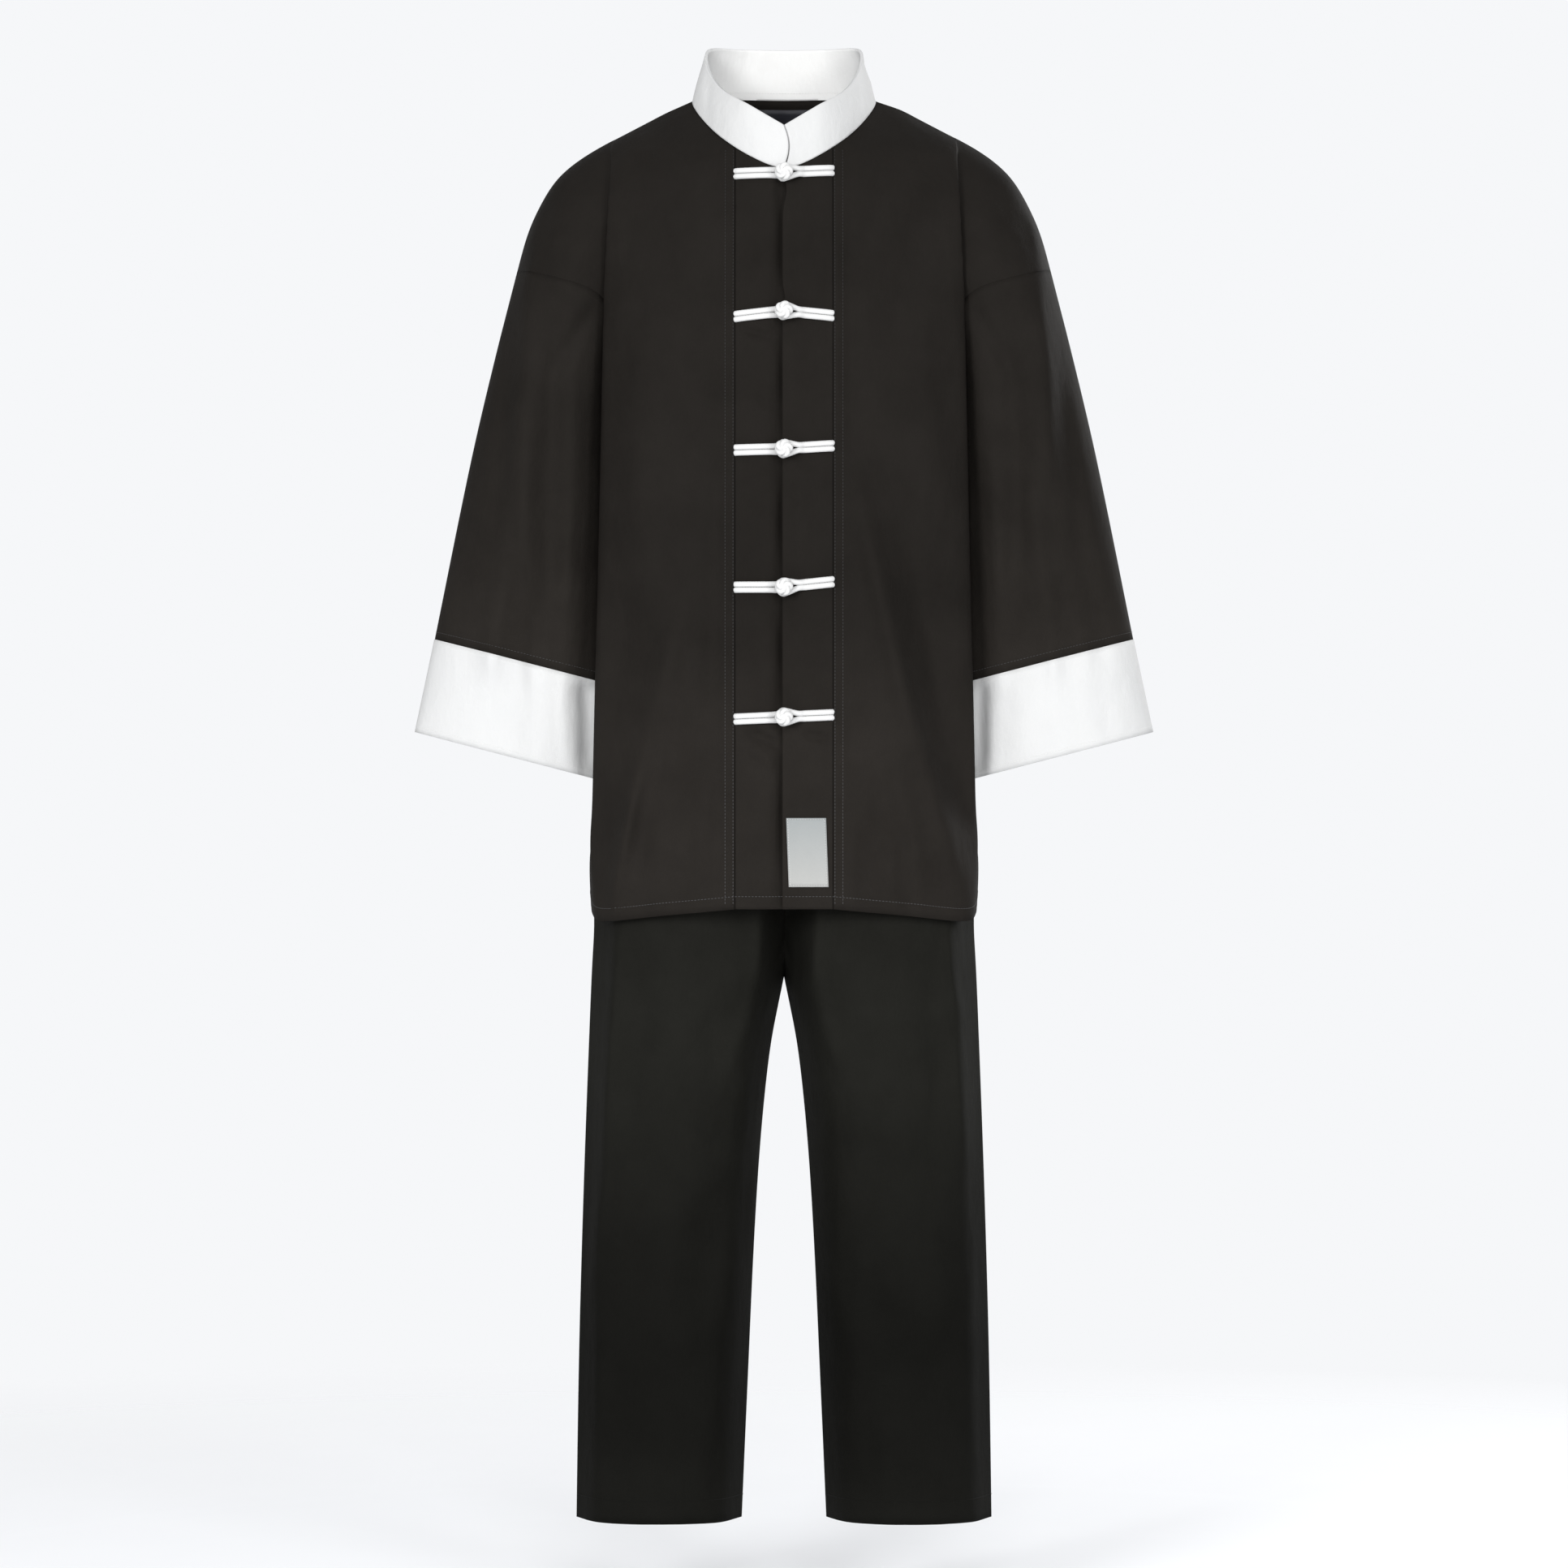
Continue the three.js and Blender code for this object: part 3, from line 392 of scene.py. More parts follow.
def cloth(node, wall, material, move, levels=2, push=SEAM_PUSH):
    """A smooth shell of cloth in place of a solid, with its own drape. wall and push are in millimetres."""
    cage = bpy.data.meshes.new(node + "_cage")
    bm = panel_cage(node, wall * MM, push * MM)
    bm.to_mesh(cage)
    bm.free()
    source = bpy.data.objects.new(node + "_cage", cage)
    scene.collection.objects.link(source)
    finer = source.modifiers.new("finer", "SUBSURF")
    finer.levels = finer.render_levels = levels
    tighten(source)
    mesh = evaluated_mesh(source, node + "_cloth")
    move_points(mesh, move)
    mesh.shade_smooth()
    mesh.set_sharp_from_angle(angle=math.radians(SHARP_EDGE))
    return add_piece(node + "_cloth", mesh, material, node)


def trouser_drape(points):
    return drape(points, TROUSER_CREASES)


# The thickness of the cloth walls, and each leg panel's flat size, in metres, and fineness.
BODY_WALL, WAISTBAND_WALL = 1.6, 2.4
LegPanel = namedtuple("LegPanel", "face width length area levels")
LEG_PANELS = [LegPanel("front", 0.283, 0.947, 0.2125, 3), LegPanel("back", 0.265, 0.942, 0.2076, 2)]
waistband = cloth("waistband", WAISTBAND_WALL, trouser_cotton, trouser_drape, levels=1)
legs = {}
for side in SIDES:
    for panel in LEG_PANELS:
        node = f"leg_{panel.face}_{side}"
        leg = cloth(node, BODY_WALL, trouser_cotton, trouser_drape, panel.levels)
        legs[panel.face, side] = leg


# Jacket body
# A back in one piece, two fronts and two front bands of the same black cotton. The back and fronts reach
# over the dropped shoulders, and fold in front of and behind the arms.

JACKET_CREASES = [
    Crease(FRONT, 66, -360, 176, -770, 8, 11, 8),
    Crease(FRONT, 116, -420, 182, -730, 4, 17, -11),
    Crease(FRONT, 98, -600, 128, -785, -4, 12, 4.1),
    Crease(FRONT, -82, -440, -150, -735, 4, 12, 5.1),
    Crease(FRONT, -136, -640, -165, -790, 2, 7, 9),
    Crease(FRONT, -104, -540, -140, -780, 4, 12, -5.8),
    Crease(FRONT, -72, -640, -84, -785, 0, 10, 3.7),
    Crease(FRONT, -152, -70, -92, -250, -6, 20, -5.4),
    Crease(FRONT, 152, -72, 96, -280, 6, 22, -5.4),
    Crease(FRONT, -126, -180, -132, -520, 4, 18, 4.8),
    Crease(FRONT, 130, -190, 140, -430, -4, 16, 4.8),
    Crease(FRONT, -60, -330, -68, -640, 2, 9, -2.7),
    Crease(FRONT, 60, -120, 64, -330, 0, 9, -2.7),
    Crease(FRONT, 112, -700, 122, -790, 2, 9, -4.4),
    Crease(FRONT, 62, -690, 66, -790, 0, 8, 3.4),
    Crease(FRONT, -232, -105, -246, -190, 2, 7, 4.8),
    Crease(FRONT, -243, -180, -247, -450, 3, 9, 5.8),
    Crease(FRONT, -258, -200, -278, -450, 0, 8, -4.8),
    Crease(FRONT, -214, -190, -226, -520, 4, 10, -5.8),
    Crease(FRONT, -200, -240, -206, -600, 0, 9, 4.8),
    Crease(FRONT, -262, -430, -292, -655, 3, 10, 5.4),
    Crease(FRONT, -236, -480, -244, -650, 0, 9, -4.1),
    Crease(FRONT, -178, -196, -216, -262, 0, 8, -5.1),
    Crease(FRONT, 236, -110, 249, -195, -2, 7, 4.8),
    Crease(FRONT, 244, -190, 249, -370, -3, 9, 5.8),
    Crease(FRONT, 262, -230, 288, -480, 0, 8, -4.8),
    Crease(FRONT, 212, -190, 222, -500, -4, 11, -6.1),
    Crease(FRONT, 198, -330, 206, -600, 0, 9, 4.8),
    Crease(FRONT, 238, -380, 266, -655, -3, 10, 5.4),
    Crease(FRONT, 292, -440, 312, -640, 0, 9, -3.7),
    Crease(FRONT, 178, -198, 216, -266, 0, 8, -5.1),
    Crease(FRONT, -30, -292, -2, -303, 0, 3.4, -2.8),
    Crease(FRONT, -38, -607, -3, -622, -2, 4.5, -5.5),
    Crease(FRONT, -34, -622, -8, -640, -2, 5, 3),
    Crease(FRONT, 16, -608, 44, -614, 0, 4, -4.5),
    Crease(FRONT, -38, -482, -6, -490, 0, 4, -2.6),
    Crease(FRONT, 8, -352, 40, -358, 0, 4, -2.4),
    Crease(FRONT, -40, -228, -8, -236, 0, 4, -2.4),
    Crease(BACK, -142, -66, -62, -175, 8, 18, -5.8),
    Crease(BACK, 142, -66, 62, -180, -8, 18, -5.8),
    Crease(BACK, -124, -210, -142, -720, 8, 16, 7.5),
    Crease(BACK, -64, -300, -70, -770, -6, 18, -6.8),
    Crease(BACK, -20, -420, -14, -775, 4, 15, 5.1),
    Crease(BACK, 34, -340, 30, -700, 4, 16, -4.4),
    Crease(BACK, 80, -260, 92, -770, 6, 17, 6.5),
    Crease(BACK, 132, -240, 146, -700, -5, 15, -6.5),
    Crease(BACK, 162, -330, 168, -640, 0, 10, 4.4),
    Crease(BACK, -245, -180, -262, -600, 4, 12, 6.5),
    Crease(BACK, -214, -210, -230, -610, 0, 11, -5.8),
    Crease(BACK, -284, -330, -314, -640, 0, 10, -4.4),
    Crease(BACK, 243, -170, 256, -580, -4, 12, 6.5),
    Crease(BACK, 212, -200, 224, -600, 0, 11, -5.8),
    Crease(BACK, 278, -300, 306, -630, 0, 10, -4.4),
    Crease(BACK, -180, -190, -222, -268, 0, 9, -5.1),
    Crease(BACK, 180, -190, 222, -270, 0, 9, -5.1),
]
# The middles of the frogs, and the foot of the front bands.
FROG_HEIGHTS = [-79, -211, -341, -471, -593]
BAND_FOOT = -774
BAND_WALL = 2
JACKET_DARK, JACKET_LIGHT = (0.0065, 0.0055, 0.0046), (0.0168, 0.0146, 0.0127)
# Painted light: the jacket's lower front is made lighter, standing in for light that reaches it from below.
BODY_PAINTED_LIGHT = [(-0.10, 0.97), (-0.30, 1.03), (-0.48, 0.97), (-0.62, 1.3), (-0.79, 1.3)]
black_cotton = cotton(
    "black_cotton", JACKET_DARK, JACKET_LIGHT, pitch=0.0009, relief=0.00012, roughness=0.78, shine=0.06,
    pucker=0.6, tones=BODY_PAINTED_LIGHT)


def jacket_drape(points):
    return drape(points, JACKET_CREASES)


def gape(z):
    """1 midway between two frogs, or between the last and the bands' foot, and 0 at each."""
    spans = zip(FROG_HEIGHTS, FROG_HEIGHTS[1:] + [BAND_FOOT])
    return sum(np.sin(math.pi * np.clip((top - z) / (top - low), 0, 1)) ** 2 for top, low in spans)


# The left band's edge lifts off between the frogs, and two pulls draw it aside, each round one height.
EDGE_X, EDGE_REACH, EDGE_LIFT = 2, 9, 1.3
Pull = namedtuple("Pull", "z reach aside")
PULLS = [Pull(-96, 14, 3.6), Pull(-198, 9, 2.2)]
PULLED_TO_X, PULLED_OVER = 13, 14
# The right band sinks behind that edge, past this line, and deeper where the edge lifts off.
UNDERLAP_X, UNDERLAP_REACH, UNDERLAP_SINK, UNDERLAP_GAPE = -9, 8, 1.5, 2.5


def overlap_drape(points):
    """The edge of the left band lifts a little between the frogs, and is drawn aside below the first and
    above the second."""
    moved = jacket_drape(points)
    x, _, z = (points / MM).T
    aside = sum(pull.aside * hump(z, pull.z, pull.reach) for pull in PULLS)
    moved[:, 1] -= EDGE_LIFT * MM * gape(z) * hump(x, EDGE_X, EDGE_REACH)
    moved[:, 0] += MM * aside * smooth((PULLED_TO_X - x) / PULLED_OVER)
    return moved


def underlap_drape(points):
    """The right band sinks behind the edge of the left one."""
    moved = jacket_drape(points)
    x, _, z = (points / MM).T
    sink = UNDERLAP_SINK + UNDERLAP_GAPE * gape(z)
    moved[:, 1] += MM * sink * smooth((x - UNDERLAP_X) / UNDERLAP_REACH)
    return moved


back = cloth("jacket_back", BODY_WALL, black_cotton, jacket_drape)
fronts, bands = {}, {}
for side in SIDES:
    node = f"jacket_front_{side}"
    fronts[side] = cloth(node, BODY_WALL, black_cotton, jacket_drape, levels=3)
for side, move in (("left", overlap_drape), ("right", underlap_drape)):
    bands[side] = cloth(f"front_band_{side}", BAND_WALL, black_cotton, move, levels=4)


# Sleeves and cuffs
# Wide straight sleeves of the black cotton, sewn to the dropped shoulders, and deep cuffs of doubled white
# cotton. They hang open as tubes.

SLEEVE_TONES = [(-0.16, 1.04), (-0.30, 1.1), (-0.42, 1.2), (-0.53, 1.5)]
sleeve_cotton = cotton(
    "sleeve_cotton", JACKET_DARK, JACKET_LIGHT, pitch=0.0009, relief=0.00012, roughness=0.78, shine=0.06,
    tones=SLEEVE_TONES)
# The inside colour is painted light, paler than the cloth, for the shaded faces inside the collar's back.
white_cotton = cotton(
    "white_cotton", (0.555, 0.56, 0.563), (0.63, 0.63, 0.625), pitch=0.0007, relief=0.00008,
    roughness=0.82, shine=0.2, inside=(0.76, 0.76, 0.752))
CUFF_WALL = 2.6
# How far a sleeve goes out and down in 1 of its length.
SLOPE_OUT, SLOPE_DOWN = 0.2425, 0.9701
CUFF_CREASES = [
    Crease(FRONT, -189, -535, -186, -660, 1, 10, -10),
    Crease(FRONT, 189, -535, 186, -660, -1, 9, -8),
    Crease(FRONT, -212, -545, -206, -650, 1, 6, 1.5),
]
# A cuff loses so much of the sleeve's drape over the first part of its depth, and takes up its own folds
# over another.
DRAPE_LOST, LOST_OVER, FOLDED_OVER = 0.75, 0.4, 0.15


def cuff_drape(points):
    """A cuff follows its sleeve's drape at the seam, lies flatter below, and folds in beside the body."""
    side = np.sign(points[:, 0].mean())
    down = side * SLOPE_OUT * points[:, 0] - SLOPE_DOWN * points[:, 2]
    part = (down - down.min()) / (down.max() - down.min())
    kept = 1 - DRAPE_LOST * smooth(part / LOST_OVER)
    hung = points + (jacket_drape(points) - points) * kept[:, None]
    return hung + (drape(points, CUFF_CREASES, 0) - points) * smooth(part / FOLDED_OVER)[:, None]


sleeves, cuffs = {}, {}
for side in SIDES:
    sleeves[side] = cloth(f"sleeve_{side}", BODY_WALL, sleeve_cotton, jacket_drape)
    cuffs[side] = cloth(f"cuff_{side}", CUFF_WALL, white_cotton, cuff_drape, levels=3)


# Collar
# A stand collar of stiffened white cotton on the neckline. Its ends meet at the centre front, one round and
# the other hollow.

COLLAR_WALL = 3
# The bend on each side of the front, and the corner of the upper edge on each side of the back.
BEND_X, BEND_Z, BEND_WIDTH, BEND_LENGTH, BEND_DEPTH = 72, 4, 4, 26, 1.2
CORNER_X, CORNER_Y, CORNER_Z, CORNER_REACH = 68, 26, 52, 17
CORNER_OUT, CORNER_UP = 2, 0.7


def collar_drape(points):
    """The collar keeps the neckline's drape at its foot, has a soft bend on each side of the front, and
    stands out a little at the corners."""
    moved = drape(points, JACKET_CREASES, 0.5)
    x, y, z = (points / MM).T
    bends = hump(np.abs(x), BEND_X, BEND_WIDTH) * hump(z, BEND_Z, BEND_LENGTH)
    moved[:, 1] += BEND_DEPTH * MM * bends * (y < 0)
    corners = hump(np.abs(x), CORNER_X, CORNER_REACH) * hump(y, CORNER_Y, CORNER_REACH)
    corners *= hump(z, CORNER_Z, CORNER_REACH)
    moved[:, 0] += CORNER_OUT * MM * np.sign(x) * corners
    moved[:, 2] += CORNER_UP * MM * corners
    return moved


collar = cloth("collar", COLLAR_WALL, white_cotton, collar_drape, levels=3)


# Frogs
# Five fastenings of white cord. On each, a doubled cord carries a round knot, and the loop of the other
# doubled cord goes round its neck. The cord ends are caught in the band seams.

def surface_of(*objs):
    """A tree of the objects' faces, for casting rays on."""
    points, faces = [], []
    for obj in objs:
        start = len(points)
        points += [v.co.copy() for v in obj.data.vertices]
        faces += [[start + k for k in p.vertices] for p in obj.data.polygons]
    return BVHTree.FromPolygons(points, faces)


# Where rays from the front start, in metres, and their way.
BEFORE = -0.5
BACKWARDS = Vector((0, 1, 0))


def forwards(lift):
    """The step that lifts a point off the front by so many millimetres."""
    return Vector((0, -lift * MM, 0))


def front_hit(tree, x, z, lift=0.0):
    """The point of the surface seen from the front at x and z, in millimetres, lifted off it."""
    return tree.ray_cast(Vector((x * MM, BEFORE, z * MM)), BACKWARDS)[0] + forwards(lift)


def through(points, steps):
    """Points of a smooth curve through the given ones."""
    last = len(points) - 1
    out = []
    for k in range(last):
        a, b, c, d = (points[min(last, max(0, k + o))] for o in (-1, 0, 1, 2))
        for s in range(steps):
            t = s / steps
            out.append(0.5 * (2 * b + (c - a) * t + (2 * a - 5 * b + 4 * c - d) * t**2
                              + (3 * b - a - 3 * c + d) * t**3))
    return out + [points[-1].copy()]


def evenly(points, gap, closed=False):
    """The same line with points a constant distance apart."""
    line = points + points[:1] if closed else points
    lengths = np.cumsum([0] + [(b - a).length for a, b in zip(line, line[1:])])
    count = max(2, round(lengths[-1] / gap) + (not closed))
    at = np.linspace(0, lengths[-1], count, endpoint=not closed)
    array = np.array([tuple(p) for p in line])
    return [Vector(p) for p in np.stack([np.interp(at, lengths, array[:, k]) for k in range(3)], axis=1)]


def ways_along(line, closed):
    """The line's way at each of its points, and a way across it that twists as little as it can. Where the
    line is closed, the ways across meet."""
    count = len(line)
    if closed:
        pairs = [(line[k - 1], line[(k + 1) % count]) for k in range(count)]
    else:
        pairs = [(line[max(k - 1, 0)], line[min(k + 1, count - 1)]) for k in range(count)]
    tangents = [(after - before).normalized() for before, after in pairs]
    across = [tangents[0].orthogonal().normalized()]
    for before, after in zip(tangents, tangents[1:]):
        across.append(before.rotation_difference(after) @ across[-1])
    if closed:
        last = tangents[-1].rotation_difference(tangents[0]) @ across[-1]
        twist = across[0].angle(last) * (1 if across[0].cross(last).dot(tangents[0]) < 0 else -1)
        across = [Quaternion(t, twist * k / count) @ a for k, (t, a) in enumerate(zip(tangents, across))]
    return tangents, across


STRANDS, GROOVE = 3, 0.07


def corded(bm, line, radius, sides=12, closed=False, pitch=0.0075):
    """Sweeps a cord of twisted strands along a line, with round ends where it is open."""
    count = len(line)
    tangents, across = ways_along(line, closed)
    walked = np.cumsum([0] + [(b - a).length for a, b in zip(line, line[1:])])
    total = walked[-1] + ((line[0] - line[-1]).length if closed else 0)
    turns = max(1, round(total / pitch))
    rings = []
    for k in range(count):
        wound = 2 * math.pi * turns * walked[k] / total
        ring = []
        for s in range(sides):
            angle = 2 * math.pi * s / sides
            groove = 1 - GROOVE * (0.5 + 0.5 * math.cos(STRANDS * (angle - wound)))
            out = Quaternion(tangents[k], angle) @ across[k]
            ring.append(bm.verts.new(line[k] + out * radius * groove))
        rings.append(ring)
    for k in range(count if closed else count - 1):
        low, high = rings[k], rings[(k + 1) % count]
        for s in range(sides):
            n = (s + 1) % sides
            bm.faces.new((low[s], low[n], high[n], high[s]))
    if not closed:
        for ring, way in ((rings[0], -tangents[0]), (rings[-1], tangents[-1])):
            middle = sum((v.co for v in ring), Vector()) / sides
            tip = bm.verts.new(middle + way * radius * 0.15)
            for s in range(sides):
                bm.faces.new((ring[s], ring[(s + 1) % sides], tip))


def finished(bm, name):
    bmesh.ops.recalc_face_normals(bm, faces=bm.faces)
    mesh = bpy.data.meshes.new(name)
    bm.to_mesh(mesh)
    bm.free()
    mesh.shade_smooth()
    return mesh


def cord_material():
    """White cord: fine threads that wind round it, a soft sheen, and slight soiling here and there."""
    material, place, shader = new_material(
        "white_cord", Sheen_Weight=0.15, Sheen_Roughness=0.4, Specular_IOR_Level=0.35)
    x, y, z = place.xyz()
    threads = ((x + z * 0.8 + y * 0.6) * (2 * math.pi / 0.0007)).sin()
    counter = ((x - z * 0.8 - y * 0.6) * (2 * math.pi / 0.0009)).sin()
    fuzz = place.noise(900, 3, 0.6)
    tone = (fuzz * 0.6 + place.noise(60, 2, 0.5) * 0.5).clamp()
    normal = (threads * 0.5 + counter * 0.5).bump(0.00012, 0.5, fuzz.bump(0.0002, 0.4))
    place.feed(shader.inputs["Base Color"], tone.between((0.6, 0.6, 0.6), (0.7, 0.7, 0.695)))
    place.feed(shader.inputs["Roughness"], (fuzz - 0.5) * 0.2 + 0.62)
    place.feed(shader.inputs["Normal"], normal)
    return material


# How much higher than its middle each frog is at its two ends.
Tilt = namedtuple("Tilt", "knot_end loop_end")
FROG_TILTS = [Tilt(0, 3), Tilt(-5, -4), Tilt(-1, 3), Tilt(0, 5), Tilt(-2, 2)]
FROG_END_X = 45
KNOT_CORD_XS = (-46, -42, -30, -15, -4)
LOOP_CORD_XS = (46, 42, 32, 20, 13)
KNOT_CORD_TURN_X = -0.5
CORD_RADIUS, CORD_HALF_GAP, CORD_LIFT = 2.75, 2.7, 3.0
# From this x on, a cord's end sinks towards the seam that catches it.
SINK_X, SINK_OVER, SINK = 41, 5, 1.8
LOOP_RADIUS, LOOP_LIFT = 6.2, 8.4
# The points of the loop round the neck, in degrees from its open side and over the top.
LOOP_TURN = (-65, -110, -180, -250, -295)
# The loop is at its full lift up to this x, and lies on the band at the end of the stretch after it.
RISE_X, RISE_OVER = 8, 12
KNOT_LIFT, NECK_RADIUS = 16.8, 2.3
# A knot is a large winding of thick cord over a small one, which lies forward in it.
Winding = namedtuple("Winding", "lobes ring swing forward radius")
KNOT_WINDINGS = [Winding(5, 4.6, 1.9, 0, 2.3), Winding(3, 1.5, 1.3, 0.8, 1.9)]
POINTS_PER_LOBE = 24
# How far apart the rings of points along a cord are.
CORD_RINGS, NECK_RINGS, KNOT_RINGS = 0.9, 1, 0.8
white_cord = cord_material()
placket = surface_of(bands["left"], bands["right"], fronts["left"], fronts["right"], collar)


def lying(x):
    """How far a cord on the band is lifted off it at x."""
    return CORD_LIFT - SINK * float(smooth((abs(x) - SINK_X) / SINK_OVER))


def rising(x):
    """How far the loop's cord is lifted at x, where it comes up to go round the knot's neck."""
    return LOOP_LIFT + (lying(x) - LOOP_LIFT) * float(smooth((x - RISE_X) / RISE_OVER))


def doubled(xs, height, tilt, lift):
    """The upper line of a doubled cord, from the first x to the last, and the lower one back again."""
    def at(x, off):
        return front_hit(placket, x, height + tilt * abs(x) / FROG_END_X + off, lift(x))

    return [at(x, CORD_HALF_GAP) for x in xs], [at(x, -CORD_HALF_GAP) for x in reversed(xs)]


def knot_ball(bm, centre):
    """The closed windings of one knot. Each goes round the centre twice."""
    for winding in KNOT_WINDINGS:
        count = winding.lobes * POINTS_PER_LOBE
        line = []
        for k in range(count):
            t = 2 * math.pi * k / count
            out = winding.ring + winding.swing * math.cos(winding.lobes * t)
            depth = -winding.swing * math.sin(winding.lobes * t) - winding.forward
            line.append(centre + Vector((out * math.cos(2 * t), depth, out * math.sin(2 * t))) * MM)
        line = evenly(line, KNOT_RINGS * MM, closed=True)
        corded(bm, line, winding.radius * MM, sides=10, closed=True, pitch=0.006)


def knot_mesh(height, tilt):
    """A doubled cord on the right band, with its neck and knot."""
    bm = bmesh.new()
    upper, lower = doubled(KNOT_CORD_XS, height, tilt, lying)
    turn = [front_hit(placket, KNOT_CORD_TURN_X, height, CORD_LIFT)]
    corded(bm, evenly(through(upper + turn + lower, 10), CORD_RINGS * MM), CORD_RADIUS * MM)
    base = front_hit(placket, 0, height)
    neck = [base + forwards(lift) for lift in (CORD_LIFT, KNOT_LIFT * 0.6, KNOT_LIFT)]
    corded(bm, evenly(through(neck, 6), NECK_RINGS * MM), NECK_RADIUS * MM)
    knot_ball(bm, neck[-1])
    return finished(bm, "knot")


def loop_mesh(height, tilt):
    """A doubled cord on the left band, which goes round the knot's neck in a loop."""
    bm = bmesh.new()
    upper, lower = doubled(LOOP_CORD_XS, height, tilt, rising)
    turn = []
    for degrees in LOOP_TURN:
        angle = math.radians(degrees)
        x, z = LOOP_RADIUS * math.cos(angle), height - LOOP_RADIUS * math.sin(angle)
        turn.append(front_hit(placket, x, z, LOOP_LIFT))
    corded(bm, evenly(through(upper + turn + lower, 8), CORD_RINGS * MM), CORD_RADIUS * MM)
    return finished(bm, "loop")


for number, (height, tilt) in enumerate(zip(FROG_HEIGHTS, FROG_TILTS), 1):
    knot, loop = knot_mesh(height, tilt.knot_end), loop_mesh(height, tilt.loop_end)
    add_piece(f"frog_knot_{number}_cord", knot, white_cord, f"frog_knot_{number}")
    add_piece(f"frog_loop_{number}_cord", loop, white_cord, f"frog_loop_{number}")


# Labels
# A bare pale grey patch near the hem of the left band, and a small bare black one inside the back of the
# neck. Both are smooth woven tape; the one at the hem is sewn down along its edges.

def label_material(name, low, high, bottom, top):
    """Satin tape: a fine cross rib, and a tone that changes from the bottom to the top height."""
    material, place, shader = new_material(name, Sheen_Weight=0.05, Specular_IOR_Level=0.4)
    x, _, z = place.xyz()
    rib = (z * (2 * math.pi / 0.0006)).sin()
    warp = (x * (2 * math.pi / 0.0005)).sin()
    fleck = place.noise(700, 2, 0.6)
    tone = ((z - bottom) / (top - bottom) + (fleck - 0.5) * 0.25).clamp()
    normal = (rib * 0.6 + warp * 0.4).bump(0.00008, 0.5, fleck.bump(0.0001, 0.3))
    place.feed(shader.inputs["Base Color"], tone.between(low, high))
    place.feed(shader.inputs["Roughness"], (fleck - 0.5) * 0.15 + 0.5)
    place.feed(shader.inputs["Normal"], normal)
    return material


LABEL_WALL = 0.8
grey_tape = label_material(
    "grey_tape", (0.362, 0.363, 0.352), (0.258, 0.276, 0.278), bottom=-0.753, top=-0.688)
black_tape = label_material(
    "black_tape", (0.012, 0.013, 0.018), (0.02, 0.021, 0.028), bottom=-0.034, top=0.004)
hem_label = cloth("hem_label", LABEL_WALL, grey_tape, overlap_drape, levels=3, push=0)
neck_label = cloth("neck_label", LABEL_WALL, black_tape, jacket_drape, push=0)


# Sewing
# Rows of machine stitches in cotton thread: two beside each band seam, two on each cuff, and one at the foot
# of the jacket, of each sleeve and of each leg, inside the collar and round the hem label.

def stitch_group():
    """Nodes that set rounded stitches along every line of a mesh."""
    group = bpy.data.node_groups.new("stitches", "GeometryNodeTree")
    face = group.interface
    face.new_socket("Geometry", in_out="INPUT", socket_type="NodeSocketGeometry")
    for name in ("Spacing", "Stitch Length", "Stitch Width"):
        face.new_socket(name, in_out="INPUT", socket_type="NodeSocketFloat")
    face.new_socket("Thread", in_out="INPUT", socket_type="NodeSocketMaterial")
    face.new_socket("Geometry", in_out="OUTPUT", socket_type="NodeSocketGeometry")
    make = group.nodes.new
    link = group.links.new
    start, end = make("NodeGroupInput"), make("NodeGroupOutput")
    curve = make("GeometryNodeMeshToCurve")
    spots = make("GeometryNodeCurveToPoints")
    spots.mode = "LENGTH"
    bead = make("GeometryNodeMeshUVSphere")
    bead.inputs["Segments"].default_value = 6
    bead.inputs["Rings"].default_value = 4
    size, half = make("ShaderNodeCombineXYZ"), make("ShaderNodeVectorMath")
    half.operation = "SCALE"
    half.inputs["Scale"].default_value = 0.5
    place = make("GeometryNodeInstanceOnPoints")
    real = make("GeometryNodeRealizeInstances")
    paint = make("GeometryNodeSetMaterial")
    link(start.outputs["Geometry"], curve.inputs[0])
    link(curve.outputs[0], spots.inputs["Curve"])
    link(start.outputs["Spacing"], spots.inputs["Length"])
    for axis, name in (("X", "Stitch Width"), ("Y", "Stitch Width"), ("Z", "Stitch Length")):
        link(start.outputs[name], size.inputs[axis])
    link(size.outputs[0], half.inputs[0])
    link(spots.outputs["Points"], place.inputs["Points"])
    link(spots.outputs["Rotation"], place.inputs["Rotation"])
    link(bead.outputs["Mesh"], place.inputs["Instance"])
    link(half.outputs[0], place.inputs["Scale"])
    link(place.outputs[0], real.inputs[0])
    link(real.outputs[0], paint.inputs["Geometry"])
    link(start.outputs["Thread"], paint.inputs["Material"])
    link(paint.outputs[0], end.inputs[0])
    return group


stitches = stitch_group()


def sew(name, rows, thread, spacing=3.2, length=2.3, width=0.55):
    """Stitches in millimetres along rows of points, as one piece."""
    points, edges = [], []
    for row in rows:
        start = len(points)
        points += row
        edges += [(start + k, start + k + 1) for k in range(len(row) - 1)]
    mesh = bpy.data.meshes.new(name + "_rows")
    mesh.from_pydata(points, edges, [])
    source = bpy.data.objects.new(name + "_rows", mesh)
    scene.collection.objects.link(source)
    modifier = source.modifiers.new("stitches", "NODES")
    modifier.node_group = stitches
    sizes = {"Spacing": spacing * MM, "Stitch Length": length * MM, "Stitch Width": width * MM}
    for item in stitches.interface.items_tree:
        if item.name in sizes:
            modifier[item.identifier] = sizes[item.name]
        elif item.name == "Thread":
            modifier[item.identifier] = thread
    made = evaluated_mesh(source, name)
    made.shade_smooth()
    return add_piece(name, made, thread)


